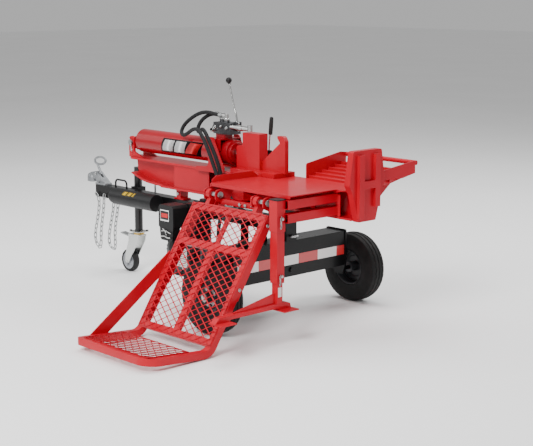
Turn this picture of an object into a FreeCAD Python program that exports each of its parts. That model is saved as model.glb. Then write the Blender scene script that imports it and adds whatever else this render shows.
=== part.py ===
"""Towable log splitter with a hydraulic log lift, in millimetres, +Z up.

+X runs along the beam towards the end plate, -Y is the log lift's side.
The sub-parts are drawn about the axle: X = 0 at the wheel axis, Y = 0 on the
beam's centre line, Z = 0 on the ground. Each finished sub-part is then moved
together by middle_x and middle_y, which puts the origin under the middle.
"""
import FreeCAD, Part
import math
import os
import re
from FreeCAD import Placement, Rotation, Vector

SIZES = {
    # the middle of the finished machine, seen from above
    "middle_x": -618.3, "middle_y": -328.0,
    # wheels
    "tyre_radius": 203.0, "tyre_width": 112.0, "wheel_y": 550.0, "rim_seat": 102.0,
    "rim_flange": 112.0, "spindle_radius": 12.7, "shaft_gap": 0.05,
    # axle, which is the oil tank
    "tank_rear": -100.0, "tank_front": 38.0, "tank_half": 428.0, "tank_bottom": 232.0,
    "tank_top": 434.0, "tank_wall": 4.0, "tank_end": 10.0, "tape_low": 298.0,
    "tape_high": 353.0, "tape_pitch": 152.4, "tape_first": -401.4,
    # tongue, post and coupler
    "tube_half": 38.1, "tube_wall": 5.0, "tongue_low": 479.0, "tongue_high": 555.2,
    "tongue_tip": -1737.0, "ball_radius": 25.6, "ball_x": -1815.0, "ball_z": 590.0,
    "coupler_top": 632.0, "handle_pivot_x": -1752.0, "handle_pivot_z": 622.0,
    # manual holder
    "manual_radius": 52.0, "manual_rear": -1440.0, "manual_front": -1042.0,
    "manual_y": -90.2, "manual_z": 520.0,
    # jack and caster
    "jack_x": -1427.0, "jack_y": 70.0, "jack_radius": 25.4, "jack_top": 690.0,
    "jack_foot": 278.0, "caster_trail": 95.0, "caster_radius": 73.0, "caster_width": 44.0,
    # beam
    "beam_low": 622.0, "beam_top": 780.0, "beam_half": 80.0, "flange_deep": 12.0,
    "web_thick": 10.0, "beam_tail": -1335.0, "plate_back": 559.0, "plate_front": 597.0,
    "side_plate_start": -892.0, "side_plate_end": -575.0,
    # cylinder and ram
    "barrel_radius": 71.0, "bore_radius": 63.5, "barrel_z": 880.0, "barrel_rear": -1263.0,
    "barrel_front": -416.0, "rod_radius": 32.0, "piston_x": -1160.0, "rear_pin_x": -1316.0,
    # wedge
    "pusher_rear": -378.0, "pusher_front": -187.0, "pusher_half": 31.5, "blade_tip": 0.0,
    "pusher_top": 1007.0, "slide_gap": 0.4,
    # near table and its tubes
    "table_rear": -149.0, "table_front": 476.0, "table_inner": -88.0, "table_outer": -430.0,
    "table_top": 782.0, "plate_thick": 5.0, "arm_tube_x": 440.0,
    # leg
    "leg_x": 415.0, "leg_y": -470.0, "sleeve_half": 28.6, "middle_half": 25.4,
    "inner_half": 19.05, "foot_bottom": 190.0,
    # log lift
    "hinge_y": -445.0, "hinge_z": 728.0, "lift_lean": 32.6, "lift_left": -235.0,
    "lift_right": 355.0, "arm_left": -125.0, "arm_right": 245.0, "arm_thick": 28.0,
    "rail_deep": 50.0, "panel_start": 58.0, "rail_end": 524.0, "panel_end": 793.0,
    "platform_out": -1262.0, "platform_rise": 4.2, "frame_tube": 38.0, "hinge_pin": 12.7,
    "mesh_long": 62.6, "mesh_short": 41.4, "mesh_strand": 6.0, "mesh_thick": 3.0,
    "ram_x": -86.0, "ram_base_y": -150.0, "ram_base_z": 640.0, "ram_lug": 30.0, "ram_inward": 60.0,
    # engine and pump
    "engine_floor": 213.0, "crank_y": -250.0, "crank_z": 335.0, "crank_end": -400.0,
    # valves
    "valve_rear": -567.0, "valve_front": -420.0, "valve_low": 985.0, "valve_high": 1050.0,
    "hose_radius": 11.0,
}

doc = FreeCAD.newDocument("LogSplitter")
sheet = doc.addObject("Spreadsheet::Sheet", "Sizes")
for row, (alias, number) in enumerate(SIZES.items(), start=1):
    sheet.set(f"A{row}", alias.replace("_", " "))
    sheet.set(f"B{row}", str(number))
    sheet.setAlias(f"B{row}", alias)
doc.recompute()

NODES = {}


def size(alias):
    """Read one driving dimension from the sheet."""
    return float(getattr(sheet, alias))


def formula(text):
    """Turn names of driving dimensions into references to the sheet."""
    return re.sub(r"[a-z]+_[a-z_]*[a-z]", lambda word: "Sizes." + word.group(), str(text))


def bind(thing, prop, text):
    thing.setExpression(prop, formula(text))


def move(thing, x, y, z):
    for axis, text in zip("xyz", (x, y, z)):
        bind(thing, f".Placement.Base.{axis}", text)


def box(name, x, y, z):
    """A block between two limits on each axis."""
    block = doc.addObject("Part::Box", name)
    for prop, span in zip(("Length", "Width", "Height"), (x, y, z)):
        bind(block, prop, f"({span[1]}) - ({span[0]})")
    move(block, x[0], y[0], z[0])
    return block


TURNS = {"X": Rotation(Vector(0, 1, 0), 90), "Y": Rotation(Vector(1, 0, 0), -90), "Z": Rotation()}


def spot(axis, start, centre):
    """The three coordinates of a point at start along axis."""
    where = list(centre)
    where.insert("XYZ".index(axis), start)
    return where


def rod(name, axis, radius, span, centre):
    """A round bar along an axis, its centre given on the other two axes."""
    bar = doc.addObject("Part::Cylinder", name)
    bar.Placement = Placement(Vector(), TURNS[axis])
    bind(bar, "Radius", radius)
    bind(bar, "Height", f"({span[1]}) - ({span[0]})")
    move(bar, *spot(axis, span[0], centre))
    return bar


def cone(name, axis, radii, span, centre):
    taper = doc.addObject("Part::Cone", name)
    taper.Placement = Placement(Vector(), TURNS[axis])
    bind(taper, "Radius1", radii[0])
    bind(taper, "Radius2", radii[1])
    bind(taper, "Height", f"({span[1]}) - ({span[0]})")
    move(taper, *spot(axis, span[0], centre))
    return taper


def ball(name, radius, centre):
    sphere = doc.addObject("Part::Sphere", name)
    bind(sphere, "Radius", radius)
    move(sphere, *centre)
    return sphere


def fuse(name, *pieces):
    joined = doc.addObject("Part::MultiFuse", name)
    joined.Shapes = list(pieces)
    joined.Refine = True
    return joined


def cut(name, base, *tools):
    for index, tool in enumerate(tools):
        left = doc.addObject("Part::Cut", f"{name}_{index}")
        left.Base = base
        left.Tool = tool
        base = left
    return base


def node(label, *pieces):
    """One sub-part: its separate solids, moved from the axle to the origin."""
    group = doc.addObject("Part::Compound", label)
    group.Label = label
    group.Links = list(pieces)
    move(group, "-middle_x", "-middle_y", "0")
    NODES[label] = group


def solid(name, shape):
    feature = doc.addObject("Part::Feature", name)
    feature.Shape = shape
    return feature


def rounded(points):
    """Closed outline through (u, v) points; a third number rounds that corner."""
    corners = []
    count = len(points)
    for index, point in enumerate(points):
        here = Vector(point[0], point[1], 0)
        if len(point) < 3:
            corners.append((here, here, None))
            continue
        before = Vector(*points[index - 1][:2], 0) - here
        after = Vector(*points[(index + 1) % count][:2], 0) - here
        before.normalize()
        after.normalize()
        half = before.getAngle(after) / 2
        reach = point[2] / math.tan(half)
        middle = before + after
        middle.normalize()
        crown = here + middle * (point[2] / math.sin(half) - point[2])
        corners.append((here + before * reach, here + after * reach, crown))
    edges = []
    for index, (enter, leave, crown) in enumerate(corners):
        if crown is not None:
            edges.append(Part.Arc(enter, crown, leave))
        following = corners[(index + 1) % count][0]
        if leave.distanceToPoint(following) > 1e-6:
            edges.append(Part.LineSegment(leave, following))
    return edges


def slab(name, plane, outline, span, holes=()):
    """A flat piece: its outline drawn on a plane and padded over span."""
    body = doc.addObject("PartDesign::Body", name)
    sketch = body.newObject("Sketcher::SketchObject", name + "_outline")
    face = next(item for item in body.Origin.OriginFeatures if item.Role == plane + "_Plane")
    sketch.AttachmentSupport = [(face, "")]
    sketch.MapMode = "FlatFace"
    sketch.addGeometry(rounded(outline), False)
    for u, v, radius in holes:
        sketch.addGeometry(Part.Circle(Vector(u, v, 0), Vector(0, 0, 1), radius), False)
    start = f"-({span[1]})" if plane == "XZ" else span[0]
    bind(sketch, ".AttachmentOffset.Base.z", start)
    pad = body.newObject("PartDesign::Pad", name + "_pad")
    pad.Profile = sketch
    bind(pad, "Length", f"({span[1]}) - ({span[0]})")
    body.Tip = pad
    return body


def lathe(name, axis, profile, centre):
    """A turned piece: profile holds (radius, distance along the axis)."""
    body = doc.addObject("PartDesign::Body", name)
    sketch = body.newObject("Sketcher::SketchObject", name + "_profile")
    face = next(item for item in body.Origin.OriginFeatures if item.Role == "XZ_Plane")
    sketch.AttachmentSupport = [(face, "")]
    sketch.MapMode = "FlatFace"
    sketch.addGeometry(rounded(profile), False)
    turned = body.newObject("PartDesign::Revolution", name + "_turn")
    turned.Profile = sketch
    turned.ReferenceAxis = (sketch, ["V_Axis"])
    turned.Angle = 360
    body.Tip = turned
    body.Placement = Placement(Vector(), TURNS[axis])
    move(body, *centre)
    return body


def square_tube(name, axis, half, wall, span, centre):
    """A square tube along an axis, open at both ends."""
    across = [(f"{c} - {half}", f"{c} + {half}") for c in centre]
    inside = [(f"{c} - {half} + {wall}", f"{c} + {half} - {wall}") for c in centre]
    across.insert("XYZ".index(axis), span)
    inside.insert("XYZ".index(axis), span)
    return cut(name, box(name + "_outer", *across), box(name + "_inner", *inside))


def bent_path(points, share=0.45):
    """Straight runs joined by tangent arcs, each as large as its runs allow."""
    edges = []
    radii = []
    start = points[0]
    for before, here, after in zip(points, points[1:], points[2:]):
        back = before - here
        ahead = after - here
        turn = math.pi - back.getAngle(ahead)
        reach = share * min(back.Length, ahead.Length)
        radius = reach / math.tan(turn / 2)
        radii.append(radius)
        back.normalize()
        ahead.normalize()
        middle = back + ahead
        middle.normalize()
        crown = here + middle * (radius / math.cos(turn / 2) - radius)
        enter = here + back * reach
        leave = here + ahead * reach
        edges.append(Part.LineSegment(start, enter).toShape())
        edges.append(Part.Arc(enter, crown, leave).toShape())
        start = leave
    edges.append(Part.LineSegment(start, points[-1]).toShape())
    return Part.Wire(edges), radii


def round_tube(name, points, radius):
    """A round bar or hose along a route, checked against section times length."""
    path, radii = bent_path([Vector(*point) for point in points])
    along = path.Edges[0].tangentAt(path.Edges[0].FirstParameter)
    section = Part.Wire(Part.makeCircle(radius, Vector(*points[0]), along))
    shape = path.makePipe(Part.Face(section))
    wanted = math.pi * radius ** 2 * path.Length
    print(f"{name}: length {path.Length:.0f}, radii {[round(r) for r in radii]},"
          f" volume ratio {shape.Volume / wanted:.3f}")
    return solid(name, shape)


def hex_head(name, axis, start, high, across, centre):
    """A bolt head or nut of a width across flats, along an axis."""
    shape = Part.makePolygon([Vector(across / math.sqrt(3) * math.cos(math.pi / 3 * k),
                                     across / math.sqrt(3) * math.sin(math.pi / 3 * k), 0)
                              for k in range(7)])
    shape = Part.Face(shape).extrude(Vector(0, 0, high))
    head = solid(name, shape)
    head.Placement = Placement(Vector(*spot(axis, start, centre)), TURNS[axis])
    return head


# ---------------------------------------------------------------- wheels
def wheels():
    half = size("tyre_width") / 2
    seat = size("rim_seat")
    outer = size("tyre_radius")
    tyre = [(seat, -half + 14), (seat + 14, -half + 4), (seat + 48, -half), (outer - 26, -half + 5),
            (outer - 5, -half + 22, 12), (outer, -24, 40), (outer, 24, 40), (outer - 5, half - 22, 12),
            (outer - 26, half - 5), (seat + 48, half), (seat + 14, half - 4), (seat, half - 14)]
    hole = size("spindle_radius") + size("shaft_gap")
    for side, sign in (("left", 1), ("right", -1)):
        middle = ("0", f"{sign} * wheel_y", "tyre_radius")
        rim = [(hole, -44), (30, -44), (30, 12), (58, 12), (66, 6), (84, 6), (seat - 8, -20),
               (seat - 8, -40), (size("rim_flange") - 14, -44), (size("rim_flange") - 14, -half + 8),
               (seat - 0.3, -half + 8), (seat - 0.3, half - 8), (size("rim_flange") - 14, half - 8),
               (size("rim_flange") - 14, 40), (seat - 14, 36), (seat - 14, -20), (84, 12),
               (66, 12), (60, 18), (34, 18), (34, 48), (hole, 48)]
        rim = [(r, sign * along) for r, along in rim]
        node(f"tyre_{side}", lathe(f"{side}_tyre_ring", "Y", tyre, middle))
        hub = lathe(f"{side}_rim_disc", "Y", rim, middle)
        cap = rod(f"{side}_hub_cap", "Y", 30, sorted((sign * 598.0, sign * 606.0), key=float),
                  ("0", "tyre_radius"))
        nuts = [hex_head(f"{side}_wheel_nut_{k}", "Y", sign * 568 if sign > 0 else -580, 12, 19,
                         (47 * math.cos(math.radians(72 * k)),
                          size("tyre_radius") + 47 * math.sin(math.radians(72 * k))))
                for k in range(5)]
        node(f"rim_{side}", hub, cap, *nuts)


# ---------------------------------------------------------------- axle and post
def axle_tank():
    shell = box("tank_shell", ("tank_rear", "tank_front"), ("-tank_half", "tank_half"),
                ("tank_bottom", "tank_top"))
    room = box("tank_room", ("tank_rear + tank_wall", "tank_front - tank_wall"),
               ("-tank_half + tank_wall", "tank_half - tank_wall"),
               ("tank_bottom + tank_wall", "tank_top - tank_wall"))
    ends = []
    outline = [(-110, 442, 12), (45, 442, 12), (45, 240), (26, 176, 16), (-26, 176, 16), (-110, 240)]
    for side, span in (("left", ("tank_half", "tank_half + tank_end")),
                       ("right", ("-tank_half - tank_end", "-tank_half"))):
        ends.append(slab(f"{side}_tank_end", "XZ", outline, span))
    neck = rod("filler_neck", "Z", 24, ("tank_top", "tank_top + 26"), ("-30", "-300"))
    boss = rod("drain_boss", "X", 15, ("tank_front", "tank_front + 9"), ("0", "269"))
    outlet = rod("tank_outlet", "X", 16, ("tank_rear - 24", "tank_rear"), ("-250", "270"))
    inlet = rod("tank_inlet", "Z", 16, ("tank_top", "tank_top + 22"), ("-62", "-112"))
    hollow = cut("tank_hollow", shell, room)
    spindles = [rod(f"{side}_spindle", "Y", "spindle_radius", span, ("0", "tyre_radius"))
                for side, span in (("left", (438, 594)), ("right", (-594, -438)))]
    node("axle_tank", fuse("tank_welded", hollow, *ends, neck, boss, outlet, inlet, *spindles))
    cap = lathe("tank_cap_turned", "Z", [(0, 26.2), (24.3, 26.2), (24.3, 8), (30, 8), (30, 30, 3), (0, 30)],
                ("-30", "-300", "tank_top"))
    node("tank_cap", cap)
    strips = []
    for k in range(6):
        low = max(size("tape_first") + k * size("tape_pitch"), -424)
        high = min(size("tape_first") + (k + 1) * size("tape_pitch"), 424)
        strips.append(box(f"tape_{k}", ("tank_front", "tank_front + 0.6"), (low, high - 0.5),
                          ("tape_low", "tape_high")))
    node("reflective_tape", *strips)


def pedestal_post():
    post = box("post_bar", (-39, 39), (-39, 39), ("tank_top", "beam_low - 8"))
    saddle = box("post_saddle", (-90, 90), (-76, 76), ("beam_low - 8", "beam_low"))
    rest = box("tongue_rest", (-96, -39), (-30, 30), ("tank_top", "tongue_low"))
    ribs = [slab(f"post_rib_{k}", "YZ", [(s * 39, 540), (s * 39, 614), (s * 74, 614)], (-5, 5))
            for k, s in enumerate((-1, 1))]
    node("pedestal_post", fuse("post_welded", post, saddle, rest, *ribs))


def tongue():
    bar = square_tube("tongue_bar", "X", "tube_half", "tube_wall", ("tongue_tip", "-39"),
                      ("0", "(tongue_low + tube_half)"))
    node_parts = [bar]
    loop = [(-1544, -20, 555), (-1544, -20, 608), (-1429, -20, 608), (-1429, -20, 555)]
    node_parts.append(round_tube("tongue_loop", loop, 6))
    node("tongue_tube", *node_parts)
    low = size("tongue_high")
    high = size("beam_low")
    web = slab("bracket_web", "XZ", [(-926, high), (-881, high), (-885, low + 8), (-860, low + 8),
                                    (-860, low), (-946, low), (-946, low + 8), (-920, low + 8)], (-30, 30))
    node("tongue_bracket", web)


def coupler():
    base = slab("coupler_base", "XY", [(-1742, -36), (-1650, -30, 10), (-1636, 0, 20), (-1650, 30, 10),
                                       (-1742, 36)], ("tongue_high", "tongue_high + 12"))
    spine = slab("coupler_spine", "XZ", [(-1842, 590), (-1842, 612, 18), (-1790, 632, 16), (-1744, 632, 14),
                                         (-1652, 567), (-1742, 567), (-1760, 590)], (-24, 24))
    dome = ball("coupler_dome", "ball_radius + 11", ("ball_x", "0", "ball_z"))
    skirt = rod("coupler_skirt", "Z", "ball_radius + 11", ("ball_z - 22", "ball_z"), ("ball_x", "0"))
    hollow = ball("socket_hollow", "ball_radius", ("ball_x", "0", "ball_z"))
    mouth = rod("socket_mouth", "Z", "ball_radius", ("ball_z - 60", "ball_z"), ("ball_x", "0"))
    slot = box("latch_slot", ("handle_pivot_x - 16", "handle_pivot_x + 60"), (-8.5, 8.5), (600, 640))
    whole = cut("coupler_casting", fuse("coupler_raw", base, spine, dome, skirt), hollow, mouth, slot)
    bolts = [hex_head(f"coupler_bolt_{k}", "Z", size("tongue_high") + 12, 8, 19, (-1722 + 60 * k, y))
             for k in (0,) for y in (-29, 29)]
    node("coupler_body", whole, *bolts)
    cheek = slab("latch_cheek", "XZ", [(-1762, 612, 6), (-1740, 604, 6), (-1712, 648, 6), (-1730, 652, 6)],
                 (-8, 8))
    grip = round_tube("latch_grip", [(-1724, -7, 645), (-1712, -22, 700), (-1700, -22, 722),
                                     (-1700, 22, 722), (-1712, 22, 700), (-1724, 7, 645)], 5)
    node("coupler_handle", fuse("latch_lever", cheek, grip))


def chain_link():
    """One welded link standing in the XZ plane, 44 mm long outside."""
    wire = 3.2
    bend = 8.6
    reach = 10.2
    ring = Part.makeTorus(bend, wire, Vector(), Vector(0, 1, 0))
    upper = ring.common(Part.makeBox(40, 40, 20, Vector(-20, -20, 0)))
    lower = ring.common(Part.makeBox(40, 40, 20, Vector(-20, -20, -20)))
    upper.translate(Vector(0, 0, reach))
    lower.translate(Vector(0, 0, -reach))
    sides = [Part.makeCylinder(wire, 2 * reach, Vector(x, 0, -reach)) for x in (-bend, bend)]
    return upper.multiFuse([lower] + sides).removeSplitter()


def safety_chains():
    """Two chains hooked back on the tongue, each a row of links on a hanging line."""
    link = chain_link()
    links = []
    pitch = 31.4
    routes = (
        [(-1721, -52, 500), (-1716, -52, 300), (-1706, -52, 160), (-1690, -52, 152), (-1672, -52, 210),
         (-1640, -52, 400), (-1622, -52, 520)],
        [(-1712, 52, 500), (-1706, 52, 280), (-1694, 52, 130), (-1678, 52, 126), (-1660, 52, 200),
         (-1630, 52, 380), (-1606, 52, 500)],
    )
    for route in routes:
        path = Part.BSplineCurve()
        path.interpolate([Vector(*point) for point in route])
        length = path.length()
        count = int(length / pitch)
        for k in range(count):
            u = path.parameterAtDistance(pitch * (k + 0.5))
            here = path.value(u)
            along = path.tangent(u)[0]
            turn = Rotation(Vector(0, 0, 1), along)
            spin = Rotation(Vector(0, 0, 1), 90 * (k % 2))
            links.append(link.transformed(Placement(here, turn * spin).toMatrix()))
    node("safety_chains", solid("chain_links", Part.makeCompound(links)))


def manual_holder():
    middle = ("manual_y", "manual_z")
    tube = rod("holder_outer", "X", "manual_radius", ("manual_rear", "manual_front"), middle)
    bore = rod("holder_bore", "X", "manual_radius - 3", ("manual_rear", "manual_front - 4"), middle)
    node("manual_tube", cut("holder_tube", tube, bore))
    cap = lathe("cap_turned", "X", [(0, -34), (44, -34, 5), (47, -24), (47, -0.3), (48.4, -0.3), (48.4, 14),
                                    (0, 14)], ("manual_rear", "manual_y", "manual_z"))
    node("manual_cap", cap)


# ---------------------------------------------------------------- jack
def jack():
    block = box("collar_block", ("jack_x - 33", "jack_x + 33"), ("tube_half", "jack_y + 33"),
                ("tongue_low - 8", "tongue_high + 10"))
    hole = rod("collar_hole", "Z", "jack_radius + shaft_gap", ("tongue_low - 20", "tongue_high + 20"),
               ("jack_x", "jack_y"))
    node("jack_sleeve", cut("jack_collar", block, hole))
    leg = rod("leg_tube", "Z", "jack_radius", ("jack_foot", "jack_top"), ("jack_x", "jack_y"))
    inside = rod("leg_room", "Z", "jack_radius - 4", ("jack_foot", "jack_top - 5"), ("jack_x", "jack_y"))
    plate = slab("jack_plate", "XY", [(-1477, 25, 12), (-1377, 25, 12), (-1377, 115, 12), (-1477, 115, 12)],
                 ("jack_foot - 5", "jack_foot"))
    lugs = [hex_head(f"plate_bolt_{k}", "Z", size("jack_foot"), 7, 15, (-1427 + sx * 40, 70 + sy * 34))
            for k, (sx, sy) in enumerate(((-1, -1), (1, -1), (1, 1), (-1, 1)))]
    node("jack_leg", cut("leg_hollow", leg, inside), plate, *lugs)
    top = size("jack_foot") - 5.3
    wheel_x = size("jack_x") - size("caster_trail")
    y = size("jack_y")
    race = rod("caster_race", "Z", 34, (top - 18, top), ("jack_x", "jack_y"))
    crown = slab("fork_crown", "XY", [(-1500, 42, 8), (-1440, 36), (-1392, 44, 14), (-1392, 96, 14),
                                      (-1440, 104), (-1500, 98, 8)], (top - 24, top - 18))
    cheeks = []
    outline = [(-1500, top - 18), (-1392, top - 18), (-1404, top - 60), (wheel_x + 18, 60, 16),
               (wheel_x - 18, 60, 16), (wheel_x - 10, 120), (-1498, top - 60)]
    for k, span in enumerate(((y - 32, y - 27), (y + 27, y + 32))):
        cheeks.append(slab(f"fork_cheek_{k}", "XZ", outline, span))
    axle = rod("caster_axle", "Y", 8, (y - 36, y + 36), (wheel_x, "caster_radius"))
    node("caster_fork", fuse("fork_welded", race, crown, *cheeks, axle))
    tread = [(50, -21), (66, -22, 4), (73, -14, 6), (73, 14, 6), (66, 22, 4), (50, 21)]
    centre = (wheel_x, "jack_y", "caster_radius")
    tyre = lathe("caster_tread", "Y", tread, centre)
    core = [(8.05, -22), (18, -22), (18, -6), (44, -6), (44, -18), (49.8, -18), (49.8, 18), (44, 18),
            (44, 6), (18, 6), (18, 22), (8.05, 22)]
    node("caster_wheel", tyre, lathe("caster_core", "Y", core, centre))
    pedal = slab("brake_pedal", "XZ", [(-1598, top - 22, 4), (-1512, top - 34), (-1512, top - 42),
                                       (-1598, top - 30, 4)], (y - 20, y + 20))
    node("caster_brake", pedal)


# ---------------------------------------------------------------- engine and pump
def engine():
    plate = box("mount_plate", (-660, "tank_rear"), (-370, -38.1), ("engine_floor - 8", "engine_floor"))
    hangers = [box(f"plate_hanger_{k}", (x, x + 60), (-46, "-tube_half"), ("engine_floor", 545))
               for k, x in enumerate((-660, -330))]
    node("engine_plate", fuse("plate_welded", plate, *hangers))
    y = size("crank_y")
    z = size("crank_z")
    sump = box("crankcase", (-560, -450), (y - 88, y + 88), ("engine_floor", "crank_z + 70"))
    side = rod("side_cover", "X", 84, (-450, -424), ("crank_y", "crank_z"))
    head = slab("head_fins", "YZ", [(y - 30, z + 60), (y - 30, z + 170, 12), (y + 90, z + 170, 12),
                                    (y + 90, z + 60)], (-548, -456))
    boss = rod("shaft_boss", "X", 30, (-424, -408), ("crank_y", "crank_z"))
    plug = hex_head("drain_plug", "Y", y - 102, 14, 17, (-500, 232))
    node("engine_block", fuse("block_cast", sump, side, head, boss), plug)
    cover = lathe("fan_shroud", "X", [(0, -86), (70, -86), (96, -70, 10), (112, -30, 14), (112, 0), (0, 0)],
                  (-560, "crank_y", "crank_z"))
    neck = rod("recoil_eye", "X", 13, (-658, -642), ("crank_y", z + 45))
    node("engine_fan_cover", fuse("fan_cover", cover, neck))
    pull = fuse("pull_grip", rod("pull_bar", "Z", 10, (z + 10, z + 80), (-680, "crank_y")),
                rod("pull_stem", "X", 5, (-680, -658.3), ("crank_y", z + 45)))
    node("recoil_handle", pull)
    shell = slab("cleaner_case", "XZ", [(-632, 474, 8), (-632, 590, 14), (-620, 604, 10), (-514, 604, 14),
                                        (-502, 588, 10), (-502, 474, 8)], (-400, -290))
    panel = slab("cleaner_panel", "XZ", [(-628, 480), (-506, 480), (-516, 401, 12), (-618, 401, 12)],
                 (-397, -346))
    node("air_cleaner", fuse("cleaner_body", shell, panel))
    tank = slab("fuel_can", "XZ", [(-560, 516, 12), (-560, 606, 26), (-394, 606, 26), (-394, 516, 12)],
                (-284, -96))
    spout = rod("fuel_neck", "Z", 20, (606, 616), (-477, -190))
    node("fuel_tank", fuse("fuel_tank_body", tank, spout))
    lid = lathe("fuel_cap_turned", "Z", [(0, 10.2), (20.3, 10.2), (20.3, 2), (28, 2), (28, 22, 4), (0, 22)],
                (-477, -190, 606))
    node("fuel_cap", lid)
    can = slab("muffler_can", "XZ", [(-500, 270, 24), (-500, 380, 24), (-370, 380, 24), (-370, 270, 24)],
               (-400, -352))
    pipe = rod("muffler_pipe", "Y", 18, (-352, y - 88), (-475, 330))
    node("muffler", fuse("muffler_body", can, pipe))
    flange = box("pump_bracket", (-372, -362), (y - 62, y + 62), ("engine_floor", "crank_z + 62"))
    case = slab("pump_case", "YZ", [(y - 52, z - 58, 18), (y + 52, z - 58, 18), (y + 52, z + 58, 18),
                                    (y - 52, z + 58, 18)], (-330, -190))
    nose = rod("pump_nose", "X", 26, (-362, -330), ("crank_y", "crank_z"))
    bridge = cut("pump_bridge", fuse("pump_raw", flange, case, nose), rod("pump_eye", "X", 8, (-376, -330),
                 ("crank_y", "crank_z")))
    ports = [rod("pump_outlet", "Z", 14, (z + 58, z + 78), (-290, "crank_y")),
             rod("pump_inlet", "X", 17, (-190, -172), ("crank_y", 300))]
    node("hydraulic_pump", fuse("pump_whole", bridge, *ports))
    hub = fuse("coupling_hub", rod("coupling_sleeve", "X", 26, (-405, -375), ("crank_y", "crank_z")),
               rod("coupling_shaft", "X", 7.95, (-375, -340), ("crank_y", "crank_z")))
    node("drive_coupling", hub)


# ---------------------------------------------------------------- beam
def beam():
    top = size("beam_top")
    low = size("beam_low")
    deep = size("flange_deep")
    tail = size("beam_tail")
    half = size("beam_half")
    flange = slab("top_flange", "XY", [(tail - 40, -30), (tail - 40, 30), (tail + 34, half), (559, half),
                                       (559, -half), (tail + 34, -half)], ("beam_top - flange_deep", "beam_top"))
    web = slab("beam_web", "XZ", [(tail, top - 6), (tail + 10, 680, 40), (-1190, 634, 500), (-1000, low + 6),
                                  (559, low + 6), (559, top - 6)], ("-web_thick / 2", "web_thick / 2"))
    foot = slab("low_flange", "XZ", [(-1013, low), (-1013, low + deep), (559, low + deep), (559, low)],
                ("-beam_half", "beam_half"))
    tail_foot = slab("tail_flange", "XZ", [(tail + 6, 676), (tail + 16, 684), (-1190, 646, 400),
                                           (-1013, low + deep), (-1013, low), (-1196, 632, 400)], (-60, 60))
    sides = [slab(f"side_plate_{k}", "XZ", [(size("side_plate_start"), top - 6),
                                            (size("side_plate_start"), low + 2),
                                            (size("side_plate_end"), low + 2),
                                            (size("side_plate_end"), top - 6)], span)
             for k, span in enumerate(((-70, -64), (64, 70)))]
    ear = [(tail - 8, top - 1), (tail - 8, 860, 40), (tail - 4, 907, 22), (-1292, 907, 16), (-1292, 812, 10),
           (-1200, top - 1)]
    ears = [slab(f"cylinder_ear_{k}", "XZ", ear, span, [(size("rear_pin_x"), 868, 12.8)])
            for k, span in enumerate(((-60, -48), (48, 60)))]
    ribs = [box(f"beam_rib_{k}", (x, x + 8), (-58, 58), (low + deep - 1, top - deep + 1))
            for k, x in enumerate((-300, 60, 380))]
    node("beam", fuse("beam_welded", flange, web, foot, tail_foot, *sides, *ears, *ribs))


def end_plate():
    outline = [(-66, 617, 8), (66, 617, 8), (110, 770), (135, 811, 12), (107, 989, 14), (-107, 989, 14),
               (-135, 811, 12), (-110, 770)]
    plate = slab("splitting_plate", "YZ", outline, ("plate_back", "plate_front"))
    front = ("plate_front", "plate_front + 18")
    bars = [box("rib_left", front, (-78, -40), (636, 966)),
            box("rib_right", front, (44, 82), (690, 966)),
            box("rib_cross", front, (-40, 44), (790, 830))]
    node("end_plate", fuse("end_plate_welded", plate, *bars))


def near_table():
    thick = size("plate_thick")
    top = size("table_top")
    inner = size("table_inner")
    outer = size("table_outer")
    rear = size("table_rear")
    front = size("table_front")
    deck = slab("table_deck", "XY", [(rear, inner), (rear, outer, 10), (front, outer, 10), (front, inner)],
                ("table_top - plate_thick", "table_top"))
    lip = box("outer_lip", ("table_rear + 12", "table_front - 12"), ("table_outer", "table_outer + plate_thick"),
              ("table_top - 18", "table_top - 1"))
    rail = slab("rear_lip", "YZ", [(inner, top - 4), (outer + 12, top - 4), (outer + 12, top + 16),
                                   (outer + 44, top + 35, 12), (inner - 34, top + 35, 14), (inner, top + 8)],
                ("table_rear", "table_rear + plate_thick"))
    web = slab("table_gusset", "XZ", [(430, top - 1), (476, top - 1), (530, top - 3), (530, top - thick),
                                      (455, 759), (430, 759)], (inner - 14, inner - 2))
    shape = [(-80, 750), (-92, 755), (-92, top - 1), (-336, top - 1), (-336, 766), (-110, 668), (-80, 650)]
    stays = [slab(f"table_stay_{k}", "YZ", shape, (x, x + 8)) for k, x in enumerate((-140, 96, 290))]
    node("near_table", fuse("table_welded", deck, lip, rail, web, *stays))


def side_tubes():
    upper = square_tube("upper_arm", "Y", 23, 3, (-441.4, "-beam_half"), ("arm_tube_x", 735))
    lower = square_tube("lower_arm", "Y", 23, 3, (-441.4, "-beam_half"), ("arm_tube_x", 665))
    root = box("arm_root", (400, 480), ("-beam_half", -76), (636, 752))
    sleeve = cut("leg_sleeve", box("sleeve_outer", ("leg_x - sleeve_half", "leg_x + sleeve_half"),
                                   ("leg_y - sleeve_half", "leg_y + sleeve_half"), (599, 762)),
                 box("sleeve_bore", ("leg_x - middle_half - 0.1", "leg_x + middle_half + 0.1"),
                     ("leg_y - middle_half - 0.1", "leg_y + middle_half + 0.1"), (590, 750)))
    node("side_tubes", fuse("arms_welded", upper, lower, root, sleeve))


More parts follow.
